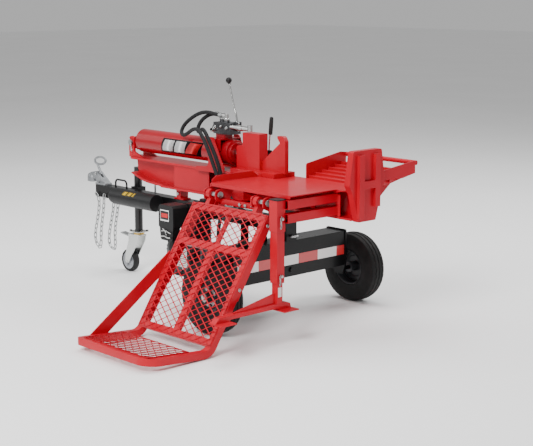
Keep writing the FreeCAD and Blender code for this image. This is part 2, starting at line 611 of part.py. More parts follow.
def leg():
    middle = square_tube("leg_middle_tube", "Z", "middle_half", "(middle_half - inner_half - 0.1)",
                         (334, 700), ("leg_x", "leg_y"))
    node("leg_middle", middle)
    x = size("leg_x")
    inner = square_tube("leg_inner_tube", "Z", "inner_half", 3, (226, 600), ("leg_x", "leg_y"))
    bar = slab("foot_bar", "YZ", [(-420, 229), (-500, 229), (-880, 222, 8), (-905, 196), (-815, 196),
                                  (-800, 204, 8), (-490, 204), (-475, 196), (-390, 196), (-396, 220, 8)],
               (x - 19, x + 19))
    rib = slab("foot_rib", "YZ", [(-489.05, 226), (-489.05, 283), (-774, 229), (-774, 224)], (x - 4, x + 4))
    pads = [box("pad_near_leg", (x - 30, x + 70), (-482, -382), ("foot_bottom", "foot_bottom + 6")),
            box("pad_outer", (x - 30, x + 70), (-908, -808), ("foot_bottom", "foot_bottom + 6"))]
    node("leg_foot", fuse("foot_welded", inner, bar, rib, *pads))


def far_catcher():
    floor = slab("catcher_floor", "YZ", [(88, 768), (88, 774), (400, 838), (402, 833)], (64, 556))
    wing = slab("catcher_wing", "YZ", [(150, 781), (150, 786), (400, 838), (402, 833)], (556, 576))
    rear = slab("catcher_rear", "YZ", [(88, 756), (88, 858, 12), (361, 901, 14), (404, 896, 10), (404, 830)],
                (60, 66))
    front = slab("catcher_front", "YZ", [(150, 812), (150, 866, 10), (402, 896, 10), (404, 828), (300, 810)],
                 (570, 576))
    rail = rod("catcher_rail", "X", 13, (60, 577), (409, 883))
    slats = [slab(f"catcher_slat_{k}", "YZ", [(104 + 52 * k, 774 + 10.5 * k), (104 + 52 * k, 790 + 10.5 * k),
                                              (116 + 52 * k, 792 + 10.5 * k), (116 + 52 * k, 776 + 10.5 * k)],
                  (64, 556)) for k in range(6)]
    strut = [(80, 640), (80, 750), (88, 752), (88, 770), (330, 821), (340, 821), (100, 640)]
    struts = [slab(f"catcher_strut_{k}", "YZ", strut, (x, x + 8)) for k, x in enumerate((120, 500))]
    root = box("catcher_root", (64, 546), (80, 86), (640, 750))
    node("far_catcher", fuse("catcher_welded", floor, wing, rear, front, rail, *slats, *struts, root))


# ---------------------------------------------------------------- cylinder, ram and wedge
def cylinder():
    middle = ("0", "barrel_z")
    skin = rod("barrel_skin", "X", "barrel_radius", ("barrel_rear", "barrel_front - 30"), middle)
    dome = cone("barrel_dome", "X", ("barrel_radius - 24", "barrel_radius"), ("barrel_rear - 22", "barrel_rear"),
                middle)
    bore = rod("barrel_bore", "X", "bore_radius", ("barrel_rear + 30", "barrel_front"), middle)
    eye = slab("barrel_eye", "XZ", [(-1344, 850, 16), (-1344, 886, 16), (-1280, 912), (-1280, 824)], (-44, 44))
    eye_hole = rod("barrel_eye_hole", "Y", 12.8, (-60, 60), ("rear_pin_x", 868))
    node("cylinder_barrel", cut("barrel", fuse("barrel_raw", skin, dome, eye), bore, eye_hole))
    head = lathe("gland", "X", [(32.08, -30), (71, -30), (74, -26), (74, -4, 3), (60, 0), (60, 14, 4),
                                (32.08, 14)], ("barrel_front", "0", "barrel_z"))
    node("cylinder_gland", head)
    bar = rod("rod_bar", "X", "rod_radius", ("piston_x", "pusher_rear"), middle)
    piston = rod("piston", "X", "bore_radius - 0.1", ("piston_x - 50", "piston_x"), middle)
    node("ram_rod", fuse("rod_and_piston", bar, piston))


def wedge():
    base = size("beam_top") + size("slide_gap")
    top = size("pusher_top")
    slide = box("wedge_foot", ("pusher_rear", "blade_tip - 18"), (-80, 80), ("beam_top + slide_gap", "beam_top + 25"))
    rear = size("pusher_rear")
    front = size("pusher_front")
    tower = box("pusher_box", (-326, "pusher_front"), ("-pusher_half", "pusher_half"),
                (base + 20, "pusher_top"))
    room = box("pusher_room", (-330, "pusher_front - 8"), ("-pusher_half + 8", "pusher_half - 8"),
               (base + 30, top - 8))
    ear = slab("rod_socket", "XZ", [(rear, base + 20), (rear, 928, 12), (-320, 936), (-320, base + 20)],
               ("-pusher_half", "pusher_half"))
    web = slab("wedge_web", "XZ", [(front - 4, base + 20), (front - 4, 852), (-40, 974), (-26, 974),
                                   (-26, base + 20)], (-8, 8))
    blade = slab("blade", "XZ", [(-43, base + 20), (-2, base + 20), (0, base + 60), (0, 980, 24),
                                 (-16, 1007, 14), (-66, 1007, 6), (-62, 994, 8), (-44, 972, 12)], (-13, 13))
    keepers = []
    for k, sign in enumerate((-1, 1)):
        spans = sorted((sign * 80.4, sign * 84.4), key=float)
        hook = sorted((sign * 62.0, sign * 84.4), key=float)
        keepers.append(box(f"keeper_side_{k}", (-310, -120), spans, (758, base + 20)))
        keepers.append(box(f"keeper_hook_{k}", (-310, -120), hook, (758, "beam_top - flange_deep - slide_gap")))
        keepers.append(box(f"keeper_top_{k}", (-310, -120), sorted((sign * 70.0, sign * 84.4), key=float),
                           (base + 4, base + 20)))
    hollow = cut("pusher_hollow", tower, room)
    node("wedge", fuse("wedge_welded", slide, hollow, ear, web, blade, *keepers))


def dislodgers():
    plates = []
    outline = [(-655, 766), (-480, 766), (-410, 779), (-410, 800), (-500, 970, 14), (-545, 970, 14),
               (-545, 800, 20), (-655, 790, 6)]
    for k, sign in enumerate((-1, 1)):
        span = sorted((sign * 94.0, sign * 102.0), key=float)
        strap = sorted((sign * 80.1, sign * 94.0), key=float)
        plate = slab(f"stripper_{k}", "XZ", outline, span)
        foot = box(f"stripper_foot_{k}", (-640, -470), strap, (768, 779.9))
        plates.append(fuse(f"stripper_welded_{k}", plate, foot))
    node("dislodger_plates", *plates)


# ---------------------------------------------------------------- main valve and plumbing
def main_valve():
    plate = box("valve_plate", (-576, -462), (-46, 46), (951.5, 959))
    stands = box("valve_stand", (-556, -480), (-30, 30), (959, "valve_low"))
    node("valve_bracket", fuse("bracket_welded", plate, stands,
                               box("saddle_side_a", (-576, -462), (-80, -74.5), (893, 959)),
                               box("saddle_side_b", (-576, -462), (74.5, 80), (893, 959)),
                               box("saddle_top", (-576, -462), (-80, 80), (953, 959))))
    block = box("valve_block", ("valve_rear", "valve_front"), (-40, 40), ("valve_low", "valve_high"))
    spool_hole = rod("spool_hole", "X", 8.05, ("valve_rear + 10", "valve_front + 10"), ("0", 1012))
    ports = [rod(f"valve_port_{k}", "Z", 17, ("valve_high", "valve_high + 14"), (x, y))
             for k, (x, y) in enumerate(((-540, 8), (-470, -22)))]
    caps = rod("detent_cap", "X", 20, ("valve_rear - 34", "valve_rear"), ("0", 1012))
    posts = [box(f"lever_post_{k}", ("valve_front", "valve_front + 34"), span, (1030, 1058))
             for k, span in enumerate(((-16, -9), (9, 16)))]
    pivot = rod("lever_pivot", "Y", 4, (-18, 18), (-402, 1046))
    node("main_valve", cut("valve_bored", fuse("valve_cast", block, *ports, caps, *posts, pivot), spool_hole))
    spool = fuse("spool_bar", rod("spool_land", "X", 8, ("valve_rear + 24", "valve_front + 22"), ("0", 1012)),
                 box("spool_tongue", ("valve_front + 10", "valve_front + 26"), (-5, 5), (1005, 1019)))
    node("valve_spool", spool)
    stick = round_tube("lever_stick", [(-404, 0, 1052), (-412, 0, 1090), (-436, 0, 1150), (-472, 0, 1270)], 6)
    hub = rod("lever_hub", "Y", 11, (-8, 8), (-402, 1046))
    knob = ball("lever_ball", 17.5, (-476, 0, 1290))
    eye = rod("lever_eye", "Y", 4.05, (-18, 18), (-402, 1046))
    node("valve_lever", cut("lever_arm", fuse("lever_raw", hub, stick), eye),
         cut("lever_knob", knob, stick_copy()))
    fittings = []
    for k, (x, y) in enumerate(((-540, 8), (-470, -22))):
        fittings.append(rod(f"elbow_post_{k}", "Z", 12, ("valve_high + 14", 1100), (x, y)))
        fittings.append(rod(f"elbow_arm_{k}", "X", 11, (x - 36, x), (y, 1090)))
    fittings.append(rod("side_adaptor", "Y", 12, (-66, -40), (-556, 1006)))
    node("valve_fittings", fuse("elbow_a", *fittings[0:2]), fuse("elbow_b", *fittings[2:4]), fittings[4])
    pipe = rod("pipe_straight", "X", 13, (-420, -262), ("-33", 1030))
    rise = rod("pipe_rise", "Z", 15, (1018, 1052), (-262, "-33"))
    sleeve = rod("pipe_band", "X", 16, (-372, -322), ("-33", 1030))
    node("crossover_pipe", fuse("pipe_whole", pipe, rise, sleeve))


def stick_copy():
    """The lever's end, to bore the knob that is screwed on it."""
    return rod("knob_bore", "Z", 6.05, (1240, 1276), (-474, 0))


PRESSURE_HOSE = (
    (-576, 8, 1090), (-612, 8, 1090), (-654, 0, 1081), (-696, -14, 1052), (-716, -28, 1012),
    (-704, -42, 982), (-664, -60, 986), (-614, -86, 1010), (-560, -112, 1002), (-508, -124, 952),
    (-464, -126, 888), (-430, -124, 822), (-412, -120, 756), (-406, -119, 690), (-398, -126, 628),
    (-376, -150, 574), (-344, -186, 532), (-314, -224, 496), (-290, -250, 460), (-290, -250, 413),
)
RETURN_HOSE = (
    (-506, -22, 1090), (-560, -22, 1090), (-624, -28, 1102), (-690, -34, 1093), (-752, -44, 1062),
    (-806, -56, 1020), (-826, -68, 976), (-790, -84, 954), (-730, -100, 972), (-664, -116, 1004),
    (-598, -136, 1014), (-540, -150, 982), (-492, -156, 924), (-454, -156, 858), (-424, -153, 792),
    (-388, -150, 728), (-340, -144, 672), (-284, -136, 624), (-224, -126, 586), (-162, -118, 556),
    (-104, -114, 532), (-62, -112, 502), (-62, -112, 456),
)


def hoses():
    node("hose_pressure", round_tube("pressure_line", PRESSURE_HOSE, size("hose_radius")))
    node("hose_return", round_tube("return_line", RETURN_HOSE, size("hose_radius")))
    node("suction_hose", solid("suction_line", Part.makeLoft(
        [Part.Wire(Part.makeCircle(14, Vector(-172, -250, 300), Vector(1, 0, 0))),
         Part.Wire(Part.makeCircle(14, Vector(-124, -250, 270), Vector(1, 0, 0)))], True)))


# ---------------------------------------------------------------- log lift
def lift_point(along, inward, x=0.0):
    """A point on the lift: along its slope from the hinge, and inward from its face."""
    lean = math.radians(size("lift_lean"))
    y = size("hinge_y") - along * math.sin(lean) + inward * math.cos(lean)
    z = size("hinge_z") - along * math.cos(lean) - inward * math.sin(lean)
    return Vector(x, y, z)


def sloped(name, x, along, inward):
    """A bar on the lift, square with its slope, between limits in lift coordinates."""
    corners = [lift_point(along[0], inward[0]), lift_point(along[1], inward[0]),
               lift_point(along[1], inward[1]), lift_point(along[0], inward[1])]
    return slab(name, "YZ", [(point.y, point.z) for point in corners], x)


def lift_carrier():
    pin_y = size("hinge_y")
    pin_z = size("hinge_z")
    top = size("table_top") - size("plate_thick")
    outline = [(-330, top), (-424, top), (-424, 760), (pin_y - 26, pin_z + 24, 22), (pin_y - 26, pin_z - 26, 22),
               (pin_y + 26, pin_z - 50, 20), (-398, 674, 8), (-370, 690)]
    cheeks = []
    for side in ("arm_left", "arm_right"):
        for k, (low, high) in enumerate(((-30, -22), (60, 68))):
            cheeks.append(slab(f"{side}_cheek_{k}", "YZ", outline, (f"{side} + {low}", f"{side} + {high}"),
                               [(pin_y, pin_z, size("hinge_pin") + 0.05)]))
    bar = box("carrier_tube", ("arm_left + 60", "arm_right - 22"), (-432, -402), (677, 707))
    strap = box("carrier_strap", ("arm_left - 20", "arm_right + 68"), (-380, -340), (top - 14, top))
    gusset = box("carrier_tail", ("arm_right + 68", "leg_x - sleeve_half"), (-436, -416), (672, 700))
    ram_y = size("ram_base_y")
    ram_z = size("ram_base_z")
    pivots = []
    for k, (low, high) in enumerate(((-27, -22), (22, 27))):
        shape = [(-80.1, 660), (-80.1, 618), (ram_y - 14, ram_z - 14, 13), (ram_y - 14, ram_z + 14, 13)]
        pivots.append(slab(f"ram_bracket_{k}", "YZ", shape, (f"ram_x + {low}", f"ram_x + {high}"),
                           [(ram_y, ram_z, 8.05)]))
    stem = box("ram_bracket_root", ("ram_x - 27", "ram_x + 27"), (-84, -80.1), (618, 660))
    whole = fuse("carrier_welded", *cheeks, bar, strap, gusset)
    hanger = fuse("ram_bracket", *pivots, stem)
    node("lift_carrier", whole, hanger)


def lift_frame():
    left = size("lift_left")
    right = size("lift_right")
    tube = size("frame_tube")
    deep = size("rail_deep")
    start = size("panel_start")
    rail_end = size("rail_end")
    pieces = []
    for k, (low, high) in enumerate(((left, left + 40), (right - 40, right))):
        pieces.append(sloped(f"outer_rail_{k}", (low, high), (start, rail_end), (3, deep)))
    bars = (("top_bar", start, start + 40), ("cross_bar", start + 205, start + 245),
            ("bottom_bar", size("panel_end") - 40, size("panel_end")))
    for name, low, high in bars:
        pieces.append(sloped(name, (left + 4, right - 4), (low, high), (3.2, 34)))
    pieces.append(sloped("centre_bar", (40, 80), (start + 230, size("panel_end") - 20), (4, 26)))
    pieces.append(sloped("short_centre_bar", (46, 72), (start + 36, start + 210), (20, 33)))
    for side in ("arm_left", "arm_right"):
        middle = size(side)
        span = (f"{side} - arm_thick / 2", f"{side} + arm_thick / 2")
        pieces.append(sloped(f"{side}_bar", span, (0, start + 36), (3, 46)))
        pieces.append(rod(f"{side}_eye", "X", 26, (middle - 14, middle + 14), ("hinge_y", "hinge_z")))
    pieces.append(lower_frame(left + 1, right - 1, tube))
    brace = slab("lift_brace", "YZ", [(-1180, 54), (-1160, 36), (-1083, 36), (-660, 332), (-640, 427)],
                 (left - 7, left))
    for k, (low, high) in enumerate(((-18, -13), (13, 18))):
        pieces.append(sloped(f"ram_lug_{k}", (f"ram_x + {low}", f"ram_x + {high}"), (14, 96), (33, 76)))
    pin = lift_point(size("ram_lug"), size("ram_inward"))
    pieces.append(rod("ram_lug_pin", "X", 6, ("ram_x - 18", "ram_x + 18"), (pin.y, pin.z)))
    frame = fuse("lift_welded", *pieces)
    bores = [rod(f"{side}_bore", "X", "hinge_pin + shaft_gap", (f"{side} - 20", f"{side} + 20"),
                 ("hinge_y", "hinge_z")) for side in ("arm_left", "arm_right")]
    caps = [sloped(f"rail_cap_{k}", (low, high), (start - 4, start), (3, deep))
            for k, (low, high) in enumerate(((left, left + 40), (right - 40, right)))]
    node("lift_frame", cut("lift_bored", frame, *bores), brace, *caps)


def lower_frame(left, right, tube):
    """The bent lower tubes: a bent strip seen from the side, cut to a U seen from above."""
    start = lift_point(size("rail_end") - 20, 6 + tube / 2)
    lean = math.radians(size("lift_lean"))
    rise = math.radians(size("platform_rise"))
    down = Vector(0, -math.sin(lean), -math.cos(lean))
    out = Vector(0, -math.cos(rise), math.sin(rise))
    end = Vector(0, size("platform_out"), 50)
    # where the sloping line meets the platform's line
    gap = end - start
    reach = (gap.y * out.z - gap.z * out.y) / (down.y * out.z - down.z * out.y)
    knee = start + down * reach
    side = Vector(0, down.z, -down.y)
    lift = Vector(0, out.z, -out.y)
    turn = math.acos(down.dot(out))
    offset = tube / 2
    miter = (side + lift)
    miter.normalize()
    miter = miter * (offset / math.cos(turn / 2))
    outline = [start + side * offset, knee + miter, end + lift * offset, end - lift * offset, knee - miter,
               start - side * offset]
    bend = 70
    points = [(point.y, point.z) for point in outline]
    points[1] += (bend + offset,) if (knee + miter).z < (knee - miter).z else (bend - offset,)
    points[4] += (bend - offset,) if (knee + miter).z < (knee - miter).z else (bend + offset,)
    strip = slab("tube_strip", "YZ", points, (left, right))
    low = size("platform_out")
    ring = [(left, start.y + 60), (left, low, 26), (right, low, 90), (right, start.y + 60),
            (right - tube, start.y + 60), (right - tube, low + tube, 90 - tube),
            (left + tube, low + tube, 6), (left + tube, start.y + 60)]
    plan = slab("tube_plan", "XY", ring, (-40, 500))
    both = doc.addObject("Part::MultiCommon", "lower_tubes")
    both.Shapes = [strip, plan]
    return both


def mesh_sheet(width, length):
    """Expanded metal: a flat sheet with rows of diamond openings, every other row shifted."""
    pitch_u = size("mesh_long")
    pitch_v = size("mesh_short")
    thin = size("mesh_strand")
    slope = math.atan2(pitch_v, pitch_u)
    half_u = pitch_u / 2 - thin / 2 / math.sin(slope)
    half_v = pitch_v / 2 - thin / 2 / math.cos(slope)
    edge = 5
    wires = [Part.makePolygon([Vector(0, 0, 0), Vector(width, 0, 0), Vector(width, length, 0),
                               Vector(0, length, 0), Vector(0, 0, 0)])]
    rows = int(length / (pitch_v / 2)) + 1
    for row in range(rows):
        v = row * pitch_v / 2
        shift = pitch_u / 2 * (row % 2)
        for column in range(int(width / pitch_u) + 2):
            u = column * pitch_u + shift
            if not (edge + half_u <= u <= width - edge - half_u):
                continue
            if not (edge + half_v <= v <= length - edge - half_v):
                continue
            corners = [Vector(u - half_u, v, 0), Vector(u, v + half_v, 0), Vector(u + half_u, v, 0),
                       Vector(u, v - half_v, 0), Vector(u - half_u, v, 0)]
            wires.append(Part.makePolygon(corners))
    face = Part.makeFace(wires, "Part::FaceMakerBullseye")
    return face.extrude(Vector(0, 0, size("mesh_thick")))


def lift_mesh():
    left = size("lift_left") + 6
    width = size("lift_right") - size("lift_left") - 12
    lean = size("lift_lean")
    panel = mesh_sheet(width, size("panel_end") - size("panel_start") - 12)
    corner = lift_point(size("panel_start") + 6, 0, left)
    upper = solid("panel_mesh", panel)
    upper.Placement = Placement(corner, Rotation(Vector(1, 0, 0), -(90 + lean)))
    inner_left = size("lift_left") + size("frame_tube") - 6
    inner_width = size("lift_right") - size("lift_left") - 2 * size("frame_tube") + 12
    floor = mesh_sheet(inner_width, 256)
    lower = solid("platform_mesh", floor)
    rise = size("platform_rise")
    lower.Placement = Placement(Vector(inner_left, -980, 52.2), Rotation(Vector(1, 0, 0), 180 - rise))
    node("lift_mesh_panel", upper)
    node("lift_mesh_platform", lower)


def lift_ram():
    """The lift's cylinder swings on the beam bracket and its rod ends at the lug's pin."""
    pin = lift_point(size("ram_lug"), size("ram_inward"))
    base = Vector(0, size("ram_base_y"), size("ram_base_z"))
    ahead = pin - base
    reach = ahead.Length
    eye = Part.makeCylinder(16, 40, Vector(0, -20, 0), Vector(0, 1, 0))
    barrel = Part.makeCylinder(20, 146, Vector(12, 0, 0), Vector(1, 0, 0))
    bore = Part.makeCylinder(15.5, 130, Vector(30, 0, 0), Vector(1, 0, 0))
    pivot = Part.makeCylinder(8.05, 60, Vector(0, -30, 0), Vector(0, 1, 0))
    whole = eye.fuse(barrel).cut(bore).cut(pivot)
    spin = ram_place(Vector(size("ram_x"), base.y, base.z), ahead)
    body = solid("ram_barrel", whole.removeSplitter())
    body.Placement = spin
    node("lift_cylinder", body)
    bar = Part.makeCylinder(11, reach - 21 - 40, Vector(40, 0, 0), Vector(1, 0, 0))
    piston = Part.makeCylinder(15.4, 12, Vector(40, 0, 0), Vector(1, 0, 0))
    stem = solid("ram_stem", bar.fuse(piston).removeSplitter())
    stem.Placement = spin
    node("lift_rod", stem)
    print("lift ram reach", round(reach, 2), "angle", round(math.degrees(math.atan2(ahead.z, -ahead.y)), 2))


def ram_place(base, ahead):
    """Local +X runs along the ram and local Y lies along the machine's X."""
    along = Vector(ahead)
    along.normalize()
    across = Vector(1, 0, 0)
    up = along.cross(across)
    return Placement(base, Rotation(along, across, up, "XYZ"))


def lift_valve():
    block = box("lift_block", (-330, -240), (108, 168), (800, 876))
    bracket = slab("lift_valve_bracket", "YZ", [(80.1, 690), (80.1, 750), (94, 756), (104, 790), (104, 800),
                                                (168, 800), (168, 792), (112, 786), (102, 750), (92, 690)],
                   (-320, -250))
    boot = cone("lever_boot", "Z", (21, 17), (876, 894), (-288, 138))
    bored = cut("lift_valve_body", fuse("lift_valve_raw", block, bracket, boot),
                rod("lift_lever_room", "Z", 13, (856, 900), (-288, 138)))
    node("lift_valve", bored)
    stick = round_tube("lift_stick", [(-288, 138, 864), (-287, 138, 920), (-280, 138, 980), (-272, 138, 1030)], 5)
    node("lift_lever", stick, cut("lift_grip_bored", rod("lift_grip_bar", "Z", 12, (985, 1088), (-272, 138)),
                                  rod("lift_grip_hole", "Z", 12.01, (900, 1031), (-272, 138))))


# ---------------------------------------------------------------- pins and bolts
def fasteners():
    pins = [fuse("rear_pin", rod("rear_pin_bar", "Y", 12.7, (-68, 68), ("rear_pin_x", 868)),
                 rod("rear_pin_head", "Y", 18, (-74, -68), ("rear_pin_x", 868)))]
    for side in ("arm_left", "arm_right"):
        pins.append(fuse(f"{side}_hinge", rod(f"{side}_pin", "X", "hinge_pin",
                                              (f"{side} - 40", f"{side} + 76"), ("hinge_y", "hinge_z")),
                         rod(f"{side}_pin_head", "X", 18, (f"{side} + 76", f"{side} + 81"),
                             ("hinge_y", "hinge_z"))))
    pins.append(rod("ram_base_pin", "X", 8, ("ram_x - 30", "ram_x + 30"), ("ram_base_y", "ram_base_z")))
    pins.append(fuse("post_pin", rod("post_pin_bar", "X", 7, (39, 66), (0, 460)),
                     rod("post_pin_cross", "Y", 5, (-26, 26), (62, 460))))
    pins.append(rod("tail_prop", "Z", 6, ("tongue_high", 630), (-1190, 20)))
    for k, (x, z) in enumerate(((95, 692), (138, 692))):
        pins.append(hex_head(f"carrier_bolt_{k}", "Y", -440, 8, 17, (x, z)))
    pins.append(hex_head("bracket_bolt", "Y", -38, 8, 17, (-903, 590)))
    node("frame_fasteners", *pins)


def check():
    failed = [item.Name for item in doc.Objects if "Invalid" in item.State or "Error" in item.State]
    for label, item in NODES.items():
        if item.Shape.isNull() or not item.Shape.isValid() or not item.Shape.Solids:
            failed.append(label)
    if failed:
        raise RuntimeError("failed objects: " + ", ".join(failed))


for build in (wheels, axle_tank, pedestal_post, tongue, coupler, safety_chains, manual_holder, jack, engine,
              beam, end_plate, near_table, side_tubes, leg, far_catcher, cylinder, wedge, dislodgers,
              main_valve, hoses, lift_carrier, lift_frame, lift_mesh, lift_ram, lift_valve, fasteners):
    build()
doc.recompute()
check()

os.makedirs("parts", exist_ok=True)
whole = FreeCAD.BoundBox()
for label, item in NODES.items():
    item.Shape.exportStep(f"parts/{label}.step")
    whole.add(item.Shape.optimalBoundingBox(False))
print(len(NODES), "sub-parts, box", whole)
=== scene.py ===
import math

import bpy
from bpy.props import FloatProperty, FloatVectorProperty, IntProperty, PointerProperty
from bpy.types import Operator, Panel, PropertyGroup
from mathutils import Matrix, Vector


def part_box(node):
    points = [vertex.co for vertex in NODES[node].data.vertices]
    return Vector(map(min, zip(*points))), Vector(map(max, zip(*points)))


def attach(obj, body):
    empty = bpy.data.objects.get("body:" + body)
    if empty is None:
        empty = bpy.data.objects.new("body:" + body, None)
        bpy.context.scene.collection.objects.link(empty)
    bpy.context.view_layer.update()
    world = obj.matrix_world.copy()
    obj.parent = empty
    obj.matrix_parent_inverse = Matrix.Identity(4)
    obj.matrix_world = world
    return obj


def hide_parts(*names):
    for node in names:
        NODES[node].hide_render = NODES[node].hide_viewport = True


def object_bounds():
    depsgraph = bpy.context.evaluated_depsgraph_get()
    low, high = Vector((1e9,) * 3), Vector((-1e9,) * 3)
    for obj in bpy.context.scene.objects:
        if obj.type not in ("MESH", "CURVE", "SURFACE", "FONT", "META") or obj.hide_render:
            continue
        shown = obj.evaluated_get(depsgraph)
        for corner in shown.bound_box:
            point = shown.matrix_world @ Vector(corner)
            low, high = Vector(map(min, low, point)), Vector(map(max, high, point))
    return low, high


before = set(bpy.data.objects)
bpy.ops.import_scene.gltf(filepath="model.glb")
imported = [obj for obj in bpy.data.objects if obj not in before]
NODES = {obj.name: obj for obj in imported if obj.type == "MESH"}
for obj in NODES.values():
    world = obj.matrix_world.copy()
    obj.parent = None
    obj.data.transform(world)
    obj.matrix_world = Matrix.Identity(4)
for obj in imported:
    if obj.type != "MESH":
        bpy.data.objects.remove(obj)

bl_info = {
    "name": "Log splitter",
    "version": (1, 0, 0),
    "blender": (4, 5, 0),
    "location": "3D View > Sidebar > Log Splitter",
    "description": "Finishes a towable log splitter: paint, tyres, mesh lift, hoses, engine and levers",
    "category": "Object",
}

CAD_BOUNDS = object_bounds()
MM = 0.001

BARREL_HEIGHT = 880      # the cylinder's centre line, in millimetres
BARREL_RADIUS = 71.0
TAPE_BLOCK = 152.4       # length of one red or white block of the tape
TAPE_START = 401.4       # where the first block ends, along the axle
RAIL_LEAN = 32.6         # degrees that the lift's back leans from upright
PLATFORM_RISE = 4.2      # degrees that the lift's platform rises outwards
LIFT_HINGE = (0, -445, 728)
LEG = (415, -470)        # centre of the let-down leg, seen from above
FILM = 0.3 * MM          # thickness of a stuck label


def middle(node):
    low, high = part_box(node)
    return (low + high) / 2


# the point on the ground under the axle, on the beam's centre line
AXLE = (middle("tyre_left") + middle("tyre_right")) / 2
AXLE.z = 0.0


def at(x, y, z):
    """A place given in millimetres from the axle: along the beam, across it, and up."""
    return AXLE + Vector((x, y, z)) * MM


# ------------------------------------------------------------------ properties
class SplitterColours(PropertyGroup):
    red: FloatVectorProperty(name="Red paint", description="Beam, tables, lift and leg", subtype="COLOR",
                             size=3, min=0, max=1, default=(0.46, 0.0, 0.012))
    dark_red: FloatVectorProperty(name="Deep red paint", description="Cylinder and its saddle",
                                  subtype="COLOR", size=3, min=0, max=1, default=(0.29, 0.0, 0.007))
    black: FloatVectorProperty(name="Black paint", description="Tongue, axle and wheels", subtype="COLOR",
                               size=3, min=0, max=1, default=(0.004, 0.004, 0.0045))
    plastic: FloatVectorProperty(name="Black plastic", description="Engine covers and caps",
                                 subtype="COLOR", size=3, min=0, max=1, default=(0.006, 0.006, 0.0065))


class SplitterSizes(PropertyGroup):
    tread_depth: FloatProperty(name="Tread depth", description="Depth of the tyre's grooves",
                               default=5 * MM, min=0.0, max=0.01, unit="LENGTH")
    tyre_steps: IntProperty(name="Tyre steps", description="Steps round each tyre", default=192, min=48, max=360)
    strand: FloatProperty(name="Mesh strand", description="Width of a strand of the expanded mesh",
                          default=6.0 * MM, min=0.002, max=0.012, unit="LENGTH")
    hose: FloatProperty(name="Hose thickness", description="Outside diameter of a pressure hose",
                        default=22 * MM, min=0.01, max=0.03, unit="LENGTH")
    orange_peel: FloatProperty(name="Paint texture", description="Strength of the sprayed paint's ripple",
                               default=0.05, min=0.0, max=1.0)
    azimuth: FloatProperty(name="Camera azimuth", description="Side that the camera looks from",
                           default=math.radians(46.69), subtype="ANGLE")
    pitch: FloatProperty(name="Camera pitch", description="How far the camera looks down",
                         default=math.radians(10.43), subtype="ANGLE")
    distance: FloatProperty(name="Camera distance", description="From the camera to its aim", default=7.3015,
                            min=1.0, unit="LENGTH")
    lens: FloatProperty(name="Camera lens", description="Focal length on a 36 mm sensor", default=86.67,
                        min=10.0, max=300.0)


# ------------------------------------------------------------------ materials
FINISHES = {}


class Finish:
    """A node material under construction."""

    def __init__(self, name):
        self.material = bpy.data.materials.new(name)
        self.material.use_nodes = True
        self.nodes = self.material.node_tree.nodes
        self.links = self.material.node_tree.links
        self.shader = self.nodes["Principled BSDF"]
        self.place = self.add("ShaderNodeTexCoord").outputs["Object"]
        FINISHES[name] = self.material

    def add(self, kind, **values):
        made = self.nodes.new(kind)
        for key, value in values.items():
            if key in made.inputs:
                made.inputs[key].default_value = value
            else:
                setattr(made, key, value)
        return made

    def link(self, source, target):
        self.links.new(source, target)

    def noise(self, scale, detail=4.0, rough=0.55, stretch=None):
        made = self.add("ShaderNodeTexNoise", Scale=scale, Detail=detail, Roughness=rough)
        where = self.place
        if stretch:
            mapping = self.add("ShaderNodeMapping", Scale=stretch)
            self.link(where, mapping.inputs["Vector"])
            where = mapping.outputs["Vector"]
        self.link(where, made.inputs["Vector"])
        return made.outputs["Fac"]

    def ramp(self, source, *stops):
        made = self.add("ShaderNodeValToRGB")
        colours = made.color_ramp.elements
        while len(colours) < len(stops):
            colours.new(0.5)
        for element, (position, colour) in zip(colours, stops):
            element.position = position
            element.color = (*colour, 1.0) if hasattr(colour, "__len__") else (colour, colour, colour, 1.0)
        self.link(source, made.inputs["Fac"])
        return made.outputs["Color"]

    def spread(self, source, low, high):
        made = self.add("ShaderNodeMapRange")
        made.inputs["To Min"].default_value = low
        made.inputs["To Max"].default_value = high
        self.link(source, made.inputs["Value"])
        return made.outputs["Result"]

    def bump(self, height, strength, distance, radius=0.0):
        made = self.add("ShaderNodeBump", Strength=strength, Distance=distance)
        self.link(height, made.inputs["Height"])
        if radius:
            bevel = self.add("ShaderNodeBevel", Radius=radius)
            bevel.samples = 4
            self.link(bevel.outputs["Normal"], made.inputs["Normal"])
        self.link(made.outputs["Normal"], self.shader.inputs["Normal"])

    def set(self, **values):
        for key, value in values.items():
            self.shader.inputs[key.replace("_", " ")].default_value = value
        return self


def shade(colour, factor):
    return tuple(min(1.0, part * factor) for part in colour)


def paint(name, colour, roughness, peel, coat=0.5):
    """Sprayed enamel: slow tone changes, fine orange peel, softened edges and a clear gloss."""
    look = Finish(name)
    tone = look.noise(2.2, 5.0, 0.6)
    look.link(look.ramp(tone, (0.3, shade(colour, 0.86)), (0.55, colour), (0.8, shade(colour, 1.1))),
              look.shader.inputs["Base Color"])
    look.link(look.spread(look.noise(9.0, 6.0, 0.65), roughness - 0.06, roughness + 0.1),
              look.shader.inputs["Roughness"])
    look.bump(look.noise(420.0, 2.0, 0.5), peel, 0.0004, 0.0022)
    look.set(Coat_Weight=coat, Coat_Roughness=0.12, Coat_IOR=1.3, Specular_IOR_Level=0.16)


def plated(name, colour, roughness, spangle):
    """Plated steel: bright metal with a soft spangle and faint drawing marks."""
    look = Finish(name)
    cells = look.add("ShaderNodeTexVoronoi", Scale=spangle)
    look.link(look.place, cells.inputs["Vector"])
    tone = look.ramp(cells.outputs["Distance"], (0.0, shade(colour, 0.8)), (0.6, colour),
                     (1.0, shade(colour, 1.12)))
    look.link(tone, look.shader.inputs["Base Color"])
    look.link(look.spread(look.noise(30.0, 6.0, 0.7), roughness - 0.05, roughness + 0.12),
              look.shader.inputs["Roughness"])
    look.bump(look.noise(260.0, 3.0, 0.6, (1, 1, 6)), 0.12, 0.0003, 0.0009)
    look.set(Metallic=1.0)


